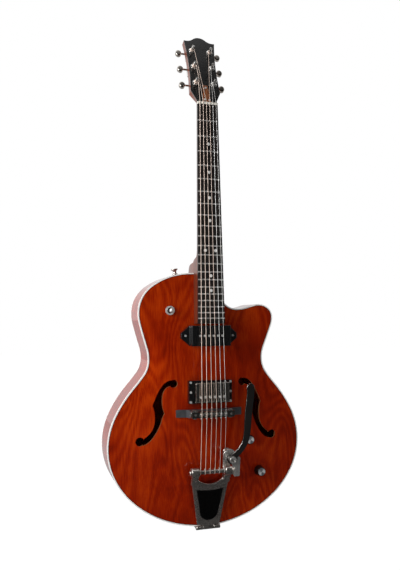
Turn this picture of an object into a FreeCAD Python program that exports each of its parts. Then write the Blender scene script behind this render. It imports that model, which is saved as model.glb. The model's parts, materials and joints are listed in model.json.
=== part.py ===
import FreeCAD, Part
import math
import os

import Sketcher

# Hollow archtop guitar with a vibrato tailpiece, two pickups and six worm-geared tuners.
# Frame, in millimetres: +Z runs up the neck, +X points to the treble side and -Y out of the top.
# The origin lies on the tail of the rim, on the centre line and at mid depth, where the strap button seats.

V = FreeCAD.Vector
X_AXIS = V(1, 0, 0)
Y_AXIS = V(0, 1, 0)
Z_AXIS = V(0, 0, 1)
FRONT = V(0, -1, 0)

# Counts
FRETS = 21
STRINGS = 6
GEAR_TEETH = 14
POST_WRAPS = 3
SPRING_TURNS = 4
RING_SAMPLES = 12
MARKED_FRETS = (3, 5, 7, 9, 15, 17)
DOUBLE_DOT_FRET = 12

SIZES = {
    # Body
    "body_length": 512.0,
    "lower_bout_width": 406.4,
    "waist_width": 244.8,
    "upper_bout_width": 286.0,
    "rim_depth": 78.0,
    "plate_thickness": 4.5,
    "edge_land": 0.6,
    "side_thickness": 2.6,
    "binding_width": 2.3,
    "top_arch": 16.0,
    "back_arch": 14.0,
    "flank_margin": 2.0,
    "lining_width": 6.0,
    "lining_depth": 12.0,
    "tail_block_width": 80.0,
    "tail_block_length": 30.0,
    "neck_block_length": 58.0,
    "tone_bar_width": 8.0,
    "tone_bar_length": 250.0,
    "tone_bar_place": 46.0,
    "tone_bar_drop": 8.0,
    "f_hole_length": 128.0,
    "f_hole_place": 104.0,
    "f_hole_rise": 2.0,
    "overrun": 2.0,
    "seat_gap": 0.2,
    # Scale, neck and fingerboard
    "scale_length": 630.0,
    "bridge_place": 232.0,
    "board_rise": 43.8,
    "neck_tilt_degrees": 2.5,
    "board_radius": 305.0,
    "board_thickness": 6.5,
    "board_overhang": 10.0,
    "board_end_width": 56.5,
    "nut_width": 43.7,
    "nut_length": 5.0,
    "nut_rise": 1.6,
    "fret_width": 2.4,
    "fret_height": 1.1,
    "dot_radius": 3.2,
    "dot_depth": 1.4,
    "neck_depth": 14.5,
    "neck_heel_depth": 17.0,
    "heel_depth": 103.0,
    "heel_run": 48.0,
    "truss_radius": 2.6,
    "truss_depth": 13.5,
    "truss_nut_radius": 3.2,
    "truss_nut_length": 8.0,
    "channel_clearance": 0.3,
    # Headstock and tuners
    "head_angle_degrees": 17.4,
    "head_length": 175.0,
    "head_width": 69.0,
    "head_foot_width": 32.0,
    "head_thickness": 14.0,
    "veneer_thickness": 1.5,
    "cover_length": 44.0,
    "cover_thickness": 2.0,
    "cover_top_width": 10.0,
    "cover_base_width": 17.0,
    "post_column": 19.8,
    "post_first": 49.0,
    "post_spacing": 43.0,
    "post_radius": 3.0,
    "post_rise": 15.0,
    "shaft_clearance": 0.05,
    "bush_radius": 4.9,
    "bush_flange_radius": 6.6,
    "bush_flange_height": 2.2,
    "worm_pitch": 2.2,
    "worm_core_radius": 1.7,
    "thread_radius": 0.5,
    "thread_bury": 0.1,
    "worm_half_length": 5.6,
    "gear_height": 3.0,
    "gear_tooth_height": 0.9,
    "gear_tip_width": 0.32,
    "gear_root_width": 0.62,
    "mesh_clearance": 0.35,
    "housing_width": 18.0,
    "housing_height": 25.0,
    "housing_depth": 9.0,
    "housing_wall": 1.5,
    "button_shaft_radius": 2.0,
    "button_place": 44.0,
    "button_width": 13.0,
    "button_height": 15.0,
    "button_thickness": 7.0,
    # Strings
    "string_spread_nut": 35.0,
    "string_spread_bridge": 50.0,
    "action_rise": 4.0,
    "thick_string": 1.2,
    "thin_string": 0.3,
    "wrap_gap": 0.6,
    "wrap_clearance": 0.12,
    "bend_radius": 4.0,
    # Pickups
    "neck_pickup_place": 384.0,
    "neck_pickup_width": 82.0,
    "neck_pickup_length": 41.0,
    "neck_pickup_rise": 34.0,
    "ear_span": 118.0,
    "ear_tip_width": 10.0,
    "ear_rise": 19.0,
    "cover_wall": 2.0,
    "bridge_pickup_place": 272.0,
    "bridge_pickup_width": 70.0,
    "bridge_pickup_length": 38.0,
    "bridge_pickup_rise": 40.5,
    "shield_wall": 0.8,
    "ring_width": 90.0,
    "ring_length": 45.0,
    "ring_rise": 27.2,
    "ring_clearance": 0.4,
    "pole_radius": 2.3,
    "pole_height": 0.8,
    "pole_row_offset": 9.0,
    "coil_clearance": 0.5,
    # Bridge
    "base_width": 138.0,
    "bridge_setback": 2.5,
    "base_length": 15.0,
    "base_rise": 30.0,
    "wing_rise": 16.4,
    "base_centre_width": 88.0,
    "bridge_width": 88.0,
    "bridge_length": 12.0,
    "bridge_height": 8.0,
    "bridge_rise": 37.5,
    "post_span": 74.0,
    "bridge_post_radius": 2.2,
    "bridge_post_bury": 8.0,
    "thumbwheel_radius": 9.0,
    "thumbwheel_height": 3.5,
    "saddle_width": 6.5,
    "saddle_length": 5.0,
    "saddle_slot_depth": 3.0,
    "saddle_slot_length": 7.6,
    "saddle_screw_radius": 1.1,
    # Vibrato tailpiece
    "hinge_rise": 4.5,
    "hinge_drop": 1.0,
    "hinge_radius": 4.0,
    "hinge_pin_radius": 2.0,
    "hinge_half_width": 25.0,
    "hinge_inner_half": 10.5,
    "hinge_clearance": 0.4,
    "bracket_thickness": 2.5,
    "bracket_reach": 62.0,
    "frame_tilt_degrees": 8.9,
    "frame_thickness": 5.0,
    "frame_length": 103.0,
    "frame_top_width": 79.0,
    "frame_low_width": 47.0,
    "panel_depth": 1.0,
    "panel_clearance": 0.1,
    "axle_along": 119.5,
    "axle_lift": 9.4,
    "axle_radius": 4.0,
    "bearing_radius": 6.5,
    "boss_radius": 9.0,
    "boss_inner": 27.0,
    "boss_outer": 43.0,
    "axle_nub": 3.0,
    "pin_radius": 1.1,
    "pin_length": 3.2,
    "hub_gap": 1.0,
    "hub_width": 10.5,
    "spring_along": 151.0,
    "spring_across": 35.0,
    "spring_wire": 2.8,
    "spring_radius": 6.6,
    "spring_gap": 0.4,
    "spring_seat_drop": 5.5,
    "spring_seat_thickness": 3.5,
    "rocker_lift": 17.2,
    "rocker_thickness": 4.0,
    "rocker_cap_across": 31.0,
    "rocker_cap_along": 155.0,
    "rocker_cap_radius": 12.5,
    "dish_radius": 36.0,
    "dish_depth": 1.4,
    "arm_stud_across": 36.0,
    "arm_stud_along": 148.0,
    "arm_stud_radius": 4.0,
    "arm_stud_head_radius": 7.0,
    "arm_stud_head_height": 6.0,
    "arm_stud_socket_radius": 3.8,
    "arm_stud_socket_depth": 4.0,
    "arm_eye_radius": 10.5,
    "arm_thickness": 3.6,
    "arm_gap": 0.5,
    "arm_length": 142.0,
    "arm_handle_width": 15.0,
    "arm_neck_width": 11.0,
    # Controls, jack and strap buttons
    "volume_across": 84.2,
    "volume_along": 171.3,
    "tone_across": 110.6,
    "tone_along": 104.0,
    "knob_radius": 10.5,
    "knob_height": 17.0,
    "knob_cap_radius": 7.4,
    "knob_gap": 0.7,
    "pot_radius": 12.0,
    "pot_depth": 11.0,
    "pot_bush_radius": 4.7,
    "pot_shaft_radius": 3.0,
    "pot_floor_gap": 0.5,
    "pot_nut_radius": 7.2,
    "pot_nut_height": 2.2,
    "toggle_across": -78.5,
    "toggle_along": 435.0,
    "toggle_nut_radius": 9.2,
    "toggle_nut_height": 3.4,
    "toggle_bush_radius": 5.9,
    "toggle_bore_radius": 4.3,
    "toggle_lever_radius": 1.8,
    "toggle_tip_radius": 4.4,
    "toggle_reach": 15.0,
    "toggle_pivot_depth": 7.0,
    "toggle_pin_radius": 1.0,
    "toggle_body_width": 16.0,
    "toggle_body_depth": 34.0,
    "jack_radius": 5.8,
    "jack_bore_radius": 3.2,
    "jack_bore_length": 30.0,
    "jack_length": 36.0,
    "jack_flange_radius": 8.0,
    "jack_flange_height": 3.0,
    "button_flange_radius": 7.2,
    "button_waist_radius": 3.7,
    "button_base_radius": 6.0,
    "button_length": 13.0,
    "screw_head_radius": 2.3,
    "screw_head_height": 1.4,
    "screw_shank_radius": 1.2,
    "screw_length": 9.0,
}

# Body outline: the bout whose half width a station follows, its share of it,
# its share of the body length, and the heading of the edge there in degrees.
TREBLE_SHARES = (
    ("lower_bout_width", 0.0, 0.0, 0.0),
    ("lower_bout_width", 0.736, 0.106, 41.0),
    ("lower_bout_width", 1.0, 0.322, 90.0),
    ("lower_bout_width", 0.758, 0.545, 131.0),
    ("waist_width", 1.0, 0.656, 90.0),
    ("upper_bout_width", 0.958, 0.754, 69.5),
    ("upper_bout_width", 1.028, 0.822, 90.0),
    ("upper_bout_width", 0.811, 0.8756, 180.0),
    ("upper_bout_width", 0.678, 0.8676, 196.3),
    ("upper_bout_width", 0.4685, 0.8563, 180.0),
)
BASS_SHARES = (
    ("upper_bout_width", -0.392, 0.9957, 189.4),
    ("upper_bout_width", -1.0, 0.84, 270.0),
    ("upper_bout_width", -0.937, 0.754, 286.0),
    ("waist_width", -1.0, 0.656, 270.0),
    ("lower_bout_width", -0.758, 0.545, 229.0),
    ("lower_bout_width", -1.0, 0.322, 270.0),
    ("lower_bout_width", -0.736, 0.106, 319.0),
    ("lower_bout_width", 0.0, 0.0, 360.0),
)
FLANK_START_SHARE = 0.9305

# Arch of a plate: share of the way out from the bridge to the edge, share of the arch height,
# and how far that level line follows the outline rather than the calm oval inside it.
ARCH_SHARES = (
    (1.06, -0.05, 1.0),
    (1.0, 0.0, 1.0),
    (0.93, 0.05, 0.86),
    (0.85, 0.15, 0.62),
    (0.75, 0.32, 0.36),
    (0.65, 0.5, 0.18),
    (0.5, 0.71, 0.05),
    (0.35, 0.87, 0.0),
    (0.2, 0.965, 0.0),
    (0.06, 1.0, 0.0),
)

# Sound hole, as shares of its length from its middle: outer edge down, then inner edge up.
F_OUTER_UPPER_SHARES = ((-0.24, 0.477), (-0.15, 0.468), (-0.07, 0.405), (0.0, 0.297), (0.06, 0.165))
F_OUTER_LOWER_SHARES = ((0.068, 0.045), (0.052, -0.08), (0.072, -0.23), (0.128, -0.325), (0.215, -0.395))
F_INNER_LOWER_SHARES = ((0.235, -0.506), (0.15, -0.467), (0.03, -0.325), (-0.038, -0.19), (-0.072, -0.085))
F_INNER_UPPER_SHARES = ((-0.076, 0.04), (-0.064, 0.18), (-0.1, 0.325), (-0.2, 0.392))
F_OUTER_NICK_SHARES = (0.088, 0.098)
F_INNER_NICK_SHARES = (-0.1, -0.027)
F_UPPER_EYE_SHARES = (-0.245, 0.427, 0.062)
F_LOWER_EYE_SHARES = (0.28, -0.445, 0.068)

# Headstock, as shares of its half width and its length, up the treble side.
HEAD_NECK_SHARE = 0.03
HEAD_LOW_SHARES = (0.94, 0.163)
HEAD_WAIST_SHARES = (0.865, 0.48)
HEAD_TOP_SHARES = (1.0, 0.935)
HEAD_DIP_SHARES = (0.66, 0.938)
HEAD_CROWN_SHARES = (0.38, 0.972)

# Truss rod: share of the heel's run where its channel ends.
ROD_SHARE = 0.62

# Heel of the neck: share of its run in front of the body, share of the way from neck depth to heel depth.
HEEL_SHARES = (
    (1.5, 0.0),
    (1.12, 0.012),
    (0.86, 0.07),
    (0.68, 0.24),
    (0.57, 0.55),
    (0.5, 0.82),
    (0.42, 0.96),
    (0.3, 1.0),
    (-0.02, 1.0),
)

# Vibrato arm, as shares of its length from its stud: across, along, lift and width.
ARM_SHARES = (
    (0.0, 0.0, 0.0, 0.0),
    (0.055, 0.06, 0.0, 0.1),
    (0.135, 0.15, 0.0, 0.25),
    (0.195, 0.31, 0.0, 0.5),
    (0.21, 0.5, -0.012, 0.75),
    (0.23, 0.75, -0.034, 0.95),
    (0.2445, 0.995, -0.0565, 1.0),
)

doc = FreeCAD.newDocument("ArchtopGuitar")
sheet = doc.addObject("Spreadsheet::Sheet", "Sizes")
for row, (alias, number) in enumerate(SIZES.items(), start=1):
    sheet.set(f"A{row}", alias)
    sheet.set(f"B{row}", str(number))
    sheet.setAlias(f"B{row}", alias)
doc.recompute()


class Named:
    """Reads a driving dimension from the sheet by its name."""

    def __getattr__(self, alias):
        return float(sheet.get(alias))


size = Named()
pieces = []


def keep(thing, label):
    """Lists a finished sub-part under its name."""
    thing.Label = label
    pieces.append(thing)
    return thing


def piece(label, shape, place=None):
    """Sub-part whose form comes from shape functions; its place is set after its shape."""
    thing = doc.addObject("Part::Feature", label)
    thing.Shape = shape
    if place:
        thing.Placement = place.multiply(shape.Placement)
    return keep(thing, label)


def helper(name, shape, place=None):
    """Shape that only cuts others and is not a sub-part."""
    thing = doc.addObject("Part::Feature", name)
    thing.Shape = shape
    if place:
        thing.Placement = place.multiply(shape.Placement)
    return thing


def group(shapes):
    """Separate solids that share one node."""
    return Part.makeCompound(list(shapes))


def moved(shape, place):
    """Copy of a shape carried to a place."""
    return shape.transformed(place.toMatrix(), True)


def at(x, y, z):
    """Place with no turn."""
    return FreeCAD.Placement(V(x, y, z), FreeCAD.Rotation())


def turned_to(point, axis, degrees):
    """Place at a point, turned about an axis."""
    return FreeCAD.Placement(point, FreeCAD.Rotation(axis, degrees))


def block(low, high):
    """Box between two corners."""
    return Part.makeBox(high[0] - low[0], high[1] - low[1], high[2] - low[2], V(*low))


def round_bar(radius, start, end):
    """Solid cylinder between two points."""
    return Part.makeCylinder(radius, (end - start).Length, start, end - start)


def prism(wire, direction):
    """Solid swept from a flat closed wire, with its faces outward."""
    solid = Part.Face(wire).extrude(direction)
    if solid.Volume < 0:
        solid.reverse()
    return solid


def polygon(points):
    """Closed flat wire through corners."""
    return Part.makePolygon(list(points) + [points[0]])


def body_of(label, place=None):
    """Empty body for a sub-part."""
    made = doc.addObject("PartDesign::Body", label)
    if place:
        made.Placement = place
    return made


def sketch_on(owner, name, role, corners):
    """Closed sketch whose corners are bound to expressions of the sheet."""
    made = owner.newObject("Sketcher::SketchObject", name)
    plane = [feature for feature in owner.Origin.OriginFeatures if feature.Role == role][0]
    made.AttachmentSupport = [(plane, "")]
    made.MapMode = "FlatFace"
    points = [V(*(float(sheet.evalExpression(word)) for word in corner)) for corner in corners]
    count = len(points)
    for index, point in enumerate(points):
        made.addGeometry(Part.LineSegment(point, points[(index + 1) % count]), False)
    for index in range(count):
        made.addConstraint(Sketcher.Constraint("Coincident", index, 2, (index + 1) % count, 1))
    for index, corner in enumerate(corners):
        spot = points[index]
        for kind, word, value in (("DistanceX", corner[0], spot.x), ("DistanceY", corner[1], spot.y)):
            number = made.addConstraint(Sketcher.Constraint(kind, -1, 1, index, 1, value))
            made.setExpression(f"Constraints[{number}]", word)
    return made


def pad(owner, name, corners, length, role="XZ_Plane"):
    """Pad of a corner sketch; on the XZ plane it grows out of the top, along -Y."""
    made = owner.newObject("PartDesign::Pad", name)
    made.Profile = sketch_on(owner, name + "Sketch", role, corners)
    made.setExpression("Length", length)
    return made


def pocket(owner, name, corners, length):
    """Pocket cut into a body from its XZ plane, along -Y."""
    made = owner.newObject("PartDesign::Pocket", name)
    made.Profile = sketch_on(owner, name + "Sketch", "XZ_Plane", corners)
    made.setExpression("Length", length)
    made.Reversed = True
    return made


def turning(owner, name, corners):
    """Turned form about the Y axis; corners are radius and height along Y."""
    made = owner.newObject("PartDesign::Revolution", name)
    made.Profile = sketch_on(owner, name + "Sketch", "XY_Plane", corners)
    made.ReferenceAxis = (made.Profile[0], ["V_Axis"])
    made.Angle = 360.0
    return made


def rectangle(width, length):
    """Corners of a centred rectangle, from two expressions."""
    across = f"({width}) / 2"
    along = f"({length}) / 2"
    return (
        (f"-{across}", f"-{along}"),
        (across, f"-{along}"),
        (across, along),
        (f"-{across}", along),
    )


def cut_by(label, base, *tools):
    """Sub-part left when tools are cut from a base, one after another."""
    for step, tool in enumerate(tools, start=1):
        made = doc.addObject("Part::Cut", f"{label}_cut_{step}")
        made.Base = base
        made.Tool = tool
        made.Refine = False
        base = made
    return keep(base, label)


# Arcs and paths

def arc_from(start, heading, end):
    """Arc that leaves a point along a heading and ends at another point, or the straight line there."""
    chord = end - start
    along = V(chord).normalize()
    ahead = V(heading).normalize()
    side = ahead - along * ahead.dot(along)
    if side.Length < 1e-6:
        return Part.LineSegment(start, end).toShape(), ahead
    sagitta = chord.Length / 2 * math.tan(ahead.getAngle(along) / 2)
    middle = (start + end) * 0.5 + V(side).normalize() * sagitta
    leaving = along * (2 * ahead.dot(along)) - ahead
    return Part.Arc(start, middle, end).toShape(), leaving


def biarc(start, heading, end, arriving):
    """Two tangent arcs between two points with given headings."""
    first = V(heading).normalize()
    last = V(arriving).normalize()
    chord = end - start
    both = first + last
    spread = 2 * (1 - first.dot(last))
    if spread < 1e-9:
        reach = chord.Length ** 2 / (4 * chord.dot(last))
    else:
        share = chord.dot(both)
        reach = (-share + math.sqrt(share ** 2 + spread * chord.Length ** 2)) / spread
    joint = (start + first * reach + end - last * reach) * 0.5
    edge_one, leaving = arc_from(start, first, joint)
    edge_two, _ = arc_from(joint, leaving, end)
    return [edge_one, edge_two]


def heading_of(degrees):
    """Unit heading in the XZ plane."""
    return V(math.cos(math.radians(degrees)), 0, math.sin(math.radians(degrees)))


def tube(edges, radius):
    """One unbroken round tube along a path."""
    spine = Part.Wire(edges)
    first = spine.OrderedEdges[0]
    start = spine.OrderedVertexes[0].Point
    tangent = first.tangentAt(first.FirstParameter)
    if first.Orientation == "Reversed":
        tangent = first.tangentAt(first.LastParameter) * -1
    ring = Part.Wire([Part.Circle(start, tangent, radius).toShape()])
    shell = Part.BRepOffsetAPI.MakePipeShell(spine)
    shell.add(ring)
    shell.build()
    shell.makeSolid()
    solid = shell.shape()
    if solid.Volume < 0:
        solid.reverse()
    return solid


def coil_points(centre, axis, start_arm, rise, turns, steps):
    """Points and headings of a helix in quarter turns; its sense of turning follows the sign of turns."""
    side = axis.cross(start_arm)
    sense = 1 if turns > 0 else -1
    count = int(round(abs(turns) * steps))
    found = []
    for index in range(count + 1):
        angle = 2 * math.pi * index / steps * sense
        arm = start_arm * math.cos(angle) + side * math.sin(angle)
        swing = (side * math.cos(angle) - start_arm * math.sin(angle)) * (2 * math.pi * sense)
        found.append((centre + arm + axis * (rise * index / steps), swing + axis * rise))
    return found


def coil_edges(found):
    """Biarcs through the points of a helix."""
    edges = []
    for (start, heading), (end, arriving) in zip(found, found[1:]):
        edges.extend(biarc(start, heading, end, arriving))
    return edges


def least_gap(found_fine, diameter, steps):
    """Least gap between turns of a coil, measured on points at least half a turn apart."""
    least = math.inf
    points = [point for point, _ in found_fine]
    for index, point in enumerate(points):
        for other in points[index + steps // 2:]:
            least = min(least, (point - other).Length)
    return least - diameter


QUARTER_TURNS = 4
FINE_TURNS = 48
EDGE_SAMPLES = 1440
LEVEL_POINTS = 72
CALM_SHARE = 0.09

# Frames that the pieces are built in

rim_front = -size.rim_depth / 2
joint_along = size.body_length - size.bridge_place
board_length = size.scale_length * (1 - 2 ** (-FRETS / 12)) + size.board_overhang
board_end = size.scale_length - board_length


def front(rise):
    """Y of a plane that stands a given height in front of the rim."""
    return rim_front - rise


neck_place = turned_to(V(0, front(size.board_rise), size.bridge_place), X_AXIS, -size.neck_tilt_degrees)
head_local = turned_to(
    V(0, size.board_thickness - size.veneer_thickness, size.scale_length + size.nut_length),
    X_AXIS,
    -size.head_angle_degrees,
)
head_place = neck_place.multiply(head_local)
frame_place = turned_to(V(0, front(size.hinge_rise), -size.hinge_drop), X_AXIS, size.frame_tilt_degrees)


def board_half(along):
    """Half width of the fingerboard at a distance from the bridge."""
    share = (size.scale_length - along) / board_length
    return (size.nut_width + (size.board_end_width - size.nut_width) * share) / 2


flank = board_half(joint_along) + size.flank_margin


def body_outline():
    """Closed outline of the rim in the XZ plane, as a chain of tangent arcs and the straight neck end."""

    def station(bout, across_share, along_share, degrees):
        spot = V(size.__getattr__(bout) / 2 * across_share, 0, size.body_length * along_share)
        return spot, heading_of(degrees)

    treble = [station(*row) for row in TREBLE_SHARES]
    treble.append((V(flank, 0, size.body_length * FLANK_START_SHARE), Z_AXIS))
    corner = V(flank, 0, size.body_length)
    bass = [(V(-flank, 0, size.body_length), heading_of(180))]
    bass.extend(station(*row) for row in BASS_SHARES)
    edges = []
    for (start, heading), (end, arriving) in zip(treble, treble[1:]):
        edges.extend(biarc(start, heading, end, arriving))
    edges.append(Part.LineSegment(treble[-1][0], corner).toShape())
    edges.append(Part.LineSegment(corner, bass[0][0]).toShape())
    for (start, heading), (end, arriving) in zip(bass, bass[1:]):
        edges.extend(biarc(start, heading, end, arriving))
    return edges


outline_edges = body_outline()


def inset(distance, level):
    """Body outline drawn in by a distance, edge by edge, and carried to a level along Y."""
    drawn_in = []
    for edge in outline_edges:
        spots = []
        for share in (0, 0.5, 1):
            where = edge.FirstParameter + (edge.LastParameter - edge.FirstParameter) * share
            heading = edge.tangentAt(where)
            inward = V(-heading.z, 0, heading.x)
            spots.append(edge.valueAt(where) + inward * distance + V(0, level, 0))
        drawn_in.append((isinstance(edge.Curve, Part.Line), spots))
    made = []
    for index, (straight, spots) in enumerate(drawn_in):
        start, middle, end = spots
        if straight and drawn_in[index + 1][0]:
            end = end + V(0, 0, -distance)
        if straight and drawn_in[index - 1][0]:
            start = start + V(-distance, 0, 0)
        curve = Part.LineSegment(start, end) if straight else Part.Arc(start, middle, end)
        made.append(curve.toShape())
    return Part.Wire(made)


def between(outer_inset, inner_inset, low, high):
    """Ring that follows the outline between two insets and two levels."""
    depth = V(0, high - low, 0)
    return prism(inset(outer_inset, low), depth).cut(prism(inset(inner_inset, low), depth))


def level_lines():
    """Distance from the bridge to each level line of the arch, in even steps of angle."""
    edge = inset(size.binding_width, 0)
    polar = []
    for point in edge.discretize(Number=EDGE_SAMPLES):
        up = point.z - size.bridge_place
        polar.append((math.atan2(point.x, -up), math.hypot(point.x, up)))
    polar.sort()
    full = 2 * math.pi
    polar = [(polar[-1][0] - full, polar[-1][1])] + polar + [(polar[0][0] + full, polar[0][1])]
    true = []
    for step in range(LEVEL_POINTS):
        angle = -math.pi + full * step / LEVEL_POINTS
        after = next(index for index, row in enumerate(polar) if row[0] >= angle)
        (low, near), (high, far) = polar[after - 1], polar[after]
        true.append(near + (far - near) * (angle - low) / max(high - low, 1e-9))
    calm = []
    for step in range(LEVEL_POINTS):
        total = 0.0
        weight = 0.0
        for reach in range(-LEVEL_POINTS // 2, LEVEL_POINTS // 2):
            share = math.exp(-((reach / LEVEL_POINTS / CALM_SHARE) ** 2))
            total += share * true[(step + reach) % LEVEL_POINTS]
            weight += share
        calm.append(total / weight)
    return [
        [out * (follow * near + (1 - follow) * far) for near, far in zip(true, calm)]
        for out, _, follow in ARCH_SHARES
    ]


LEVELS = level_lines()


def arch_dome(level, arch, side):
    """Solid under an arched surface, a little wider than the body.

    The side is -1 for the top and 1 for the back.
    """
    wires = []
    for (_, up_share, _), reaches in zip(ARCH_SHARES, LEVELS):
        points = []
        for step, reach in enumerate(reaches):
            angle = -math.pi + 2 * math.pi * step / LEVEL_POINTS
            along = size.bridge_place - reach * math.cos(angle)
            points.append(V(reach * math.sin(angle), level + side * arch * up_share, along))
        curve = Part.BSplineCurve()
        curve.interpolate(Points=points, PeriodicFlag=True, Parameters=list(range(LEVEL_POINTS + 1)))
        wires.append(Part.Wire([curve.toShape()]))
    dome = Part.makeLoft(wires, True, False)
    if dome.Volume < 0:
        dome.reverse()
    return dome


def arched_plate(dome, level, arch, side):
    """Plate with a flat glue edge: a dome over a slab, less the same dome moved inward."""
    foot = level + side * arch * ARCH_SHARES[0][1]
    inner_face = level - side * size.plate_thickness
    crown = dome.common(prism(inset(size.binding_width, foot), V(0, side * size.top_arch * 2, 0)))
    slab = prism(inset(size.binding_width, inner_face), V(0, foot - inner_face, 0))
    hollow = dome.translated(V(0, -side * (size.plate_thickness + size.edge_land), 0))
    return crown.fuse(slab).removeSplitter().cut(hollow)


def sound_hole(side):
    """Cutter of one sound hole: a slanted slot with two eyes and a nick in each edge."""
    long = size.f_hole_length
    middle = V(size.f_hole_place, front(size.top_arch * 2), size.bridge_place + size.f_hole_rise)

    def spot(shares):
        return middle + V(shares[0] * long, 0, shares[1] * long)

    runs = (
        F_OUTER_UPPER_SHARES + (F_OUTER_NICK_SHARES,),
        (F_OUTER_NICK_SHARES,) + F_OUTER_LOWER_SHARES,
        F_OUTER_LOWER_SHARES[-1:] + F_INNER_LOWER_SHARES[:1],
        F_INNER_LOWER_SHARES + (F_INNER_NICK_SHARES,),
        (F_INNER_NICK_SHARES,) + F_INNER_UPPER_SHARES,
        F_INNER_UPPER_SHARES[-1:] + F_OUTER_UPPER_SHARES[:1],
    )
    edges = []
    for run in runs:
        points = [spot(shares) for shares in run]
        if len(points) == 2:
            edges.append(Part.LineSegment(*points).toShape())
        else:
            curve = Part.BSplineCurve()
            curve.interpolate(points)
            edges.append(curve.toShape())
    depth = V(0, size.top_arch * 4, 0)
    cutter = prism(Part.Wire(edges), depth)
    for eye in (F_UPPER_EYE_SHARES, F_LOWER_EYE_SHARES):
        cutter = cutter.fuse(Part.makeCylinder(eye[2] * long, depth.Length, spot(eye), Y_AXIS))
    if side < 0:
        cutter = cutter.mirror(V(0, 0, 0), X_AXIS)
    return cutter


# Body

top_dome = arch_dome(rim_front, size.top_arch, -1)
back_dome = arch_dome(-rim_front, size.back_arch, 1)
rim_block = prism(inset(0, rim_front), V(0, size.rim_depth, 0))


def surface_rise(across, along):
    """Height of the top's surface in front of the rim at one place, read between its level lines."""
    up = along - size.bridge_place
    turn = (math.atan2(across, -up) + math.pi) / (2 * math.pi) * LEVEL_POINTS
    step = int(turn) % LEVEL_POINTS
    part = turn - int(turn)
    reach = math.hypot(across, up)
    lines = [row[step] * (1 - part) + row[(step + 1) % LEVEL_POINTS] * part for row in LEVELS]
    inside = next(index for index, line in enumerate(lines) if line <= reach)
    outer, inner = lines[inside - 1], lines[inside]
    share = (outer - reach) / (outer - inner)
    low, high = ARCH_SHARES[inside - 1][1], ARCH_SHARES[inside][1]
    return size.top_arch * (low + (high - low) * share)


def seat_rise(across, along, radius):
    """Highest point of the top's surface under a round foot."""
    spots = [(0.0, 0.0)]
    for index in range(RING_SAMPLES):
        angle = 2 * math.pi * index / RING_SAMPLES
        spots.append((radius * math.cos(angle), radius * math.sin(angle)))
    return max(surface_rise(across + dx, along + dz) for dx, dz in spots)


def through_top(shape_wire):
    """Cutter that passes right through the top."""
    return prism(shape_wire, V(0, size.top_arch * 4, 0))


def slot_wire(width, length, along):
    """Rectangle in front of the top, centred on the centre line."""
    level = front(size.top_arch * 2)
    across = width / 2
    up = length / 2
    return polygon([
        V(-across, level, along - up),
        V(across, level, along - up),
        V(across, level, along + up),
        V(-across, level, along + up),
    ])


neck_rout_width = size.neck_pickup_width - 2 * size.cover_wall
neck_rout_length = size.neck_pickup_length - 2 * size.cover_wall
controls = (
    (size.volume_across, size.volume_along, size.pot_bush_radius),
    (size.tone_across, size.tone_along, size.pot_bush_radius),
    (size.toggle_across, size.toggle_along, size.toggle_bush_radius),
)
top = arched_plate(top_dome, rim_front, size.top_arch, -1)
top_cutters = [sound_hole(1), sound_hole(-1)]
top_cutters.append(through_top(slot_wire(neck_rout_width, neck_rout_length, size.neck_pickup_place)))
top_cutters.append(through_top(slot_wire(
    size.bridge_pickup_width + 2 * size.ring_clearance,
    size.bridge_pickup_length + 2 * size.ring_clearance,
    size.bridge_pickup_place,
)))
for across, along, radius in controls:
    far = size.top_arch * 4
    start = V(across, front(far / 2), along)
    top_cutters.append(Part.makeCylinder(radius + size.seat_gap / 2, far, start, Y_AXIS))
piece("back_plate", arched_plate(back_dome, -rim_front, size.back_arch, 1))

side_front = rim_front + size.plate_thickness
jack_along = size.body_length * TREBLE_SHARES[2][2]
jack_across = size.lower_bout_width / 2
jack_hole = Part.makeCylinder(
    size.jack_radius, size.jack_length * 2, V(jack_across - size.jack_length, 0, jack_along), X_AXIS
)
rim = between(0, size.side_thickness, side_front, -side_front).cut(jack_hole)
rib_reach = size.body_length * 2
bass_half = block((-rib_reach, -rib_reach, -rib_reach), (0, rib_reach, rib_reach))
treble_half = block((0, -rib_reach, -rib_reach), (rib_reach, rib_reach, rib_reach))
piece("sides", group([rim.common(bass_half), rim.common(treble_half)]))
piece("body_binding", group([
    between(0, size.binding_width, rim_front, side_front),
    between(0, size.binding_width, -side_front, -rim_front),
]))

inner_space = prism(inset(size.side_thickness, side_front), V(0, -2 * side_front, 0))
tail_block = inner_space.common(block(
    (-size.tail_block_width / 2, side_front, 0),
    (size.tail_block_width / 2, -side_front, size.tail_block_length),
))
neck_block = inner_space.common(block(
    (-flank, side_front, size.body_length - size.neck_block_length),
    (flank, -side_front, size.body_length),
))
piece("end_blocks", group([tail_block, neck_block]))
lining_inset = size.side_thickness + size.lining_width
linings = []
for low in (side_front, -side_front - size.lining_depth):
    ring = between(size.side_thickness, lining_inset, low, low + size.lining_depth)
    linings.extend(ring.cut([tail_block, neck_block]).Solids)
piece("linings", group(linings))

under_top = top_dome.translated(V(0, size.plate_thickness + size.edge_land, 0))
bars = []
for side in (-1, 1):
    low_edge = side * size.tone_bar_place - size.tone_bar_width / 2
    low_end = size.bridge_place - size.tone_bar_length * 0.56
    reach = (low_edge + size.tone_bar_width, low_end + size.tone_bar_length)
    above = block((low_edge, front(size.top_arch * 2), low_end), (reach[0], side_front, reach[1]))
    upper = under_top.common(above)
    lower = block((low_edge, side_front, low_end), (reach[0], side_front + size.tone_bar_drop, reach[1]))
    bars.append(upper.fuse(lower).removeSplitter())
piece("tone_bars", group(bars))

# Neck and fingerboard, in the neck's own frame: z from the bridge, y from the fingerboard's face


OVAL_WEIGHT = math.sqrt(0.5)
HEEL_WEIGHT = 1.5


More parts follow.
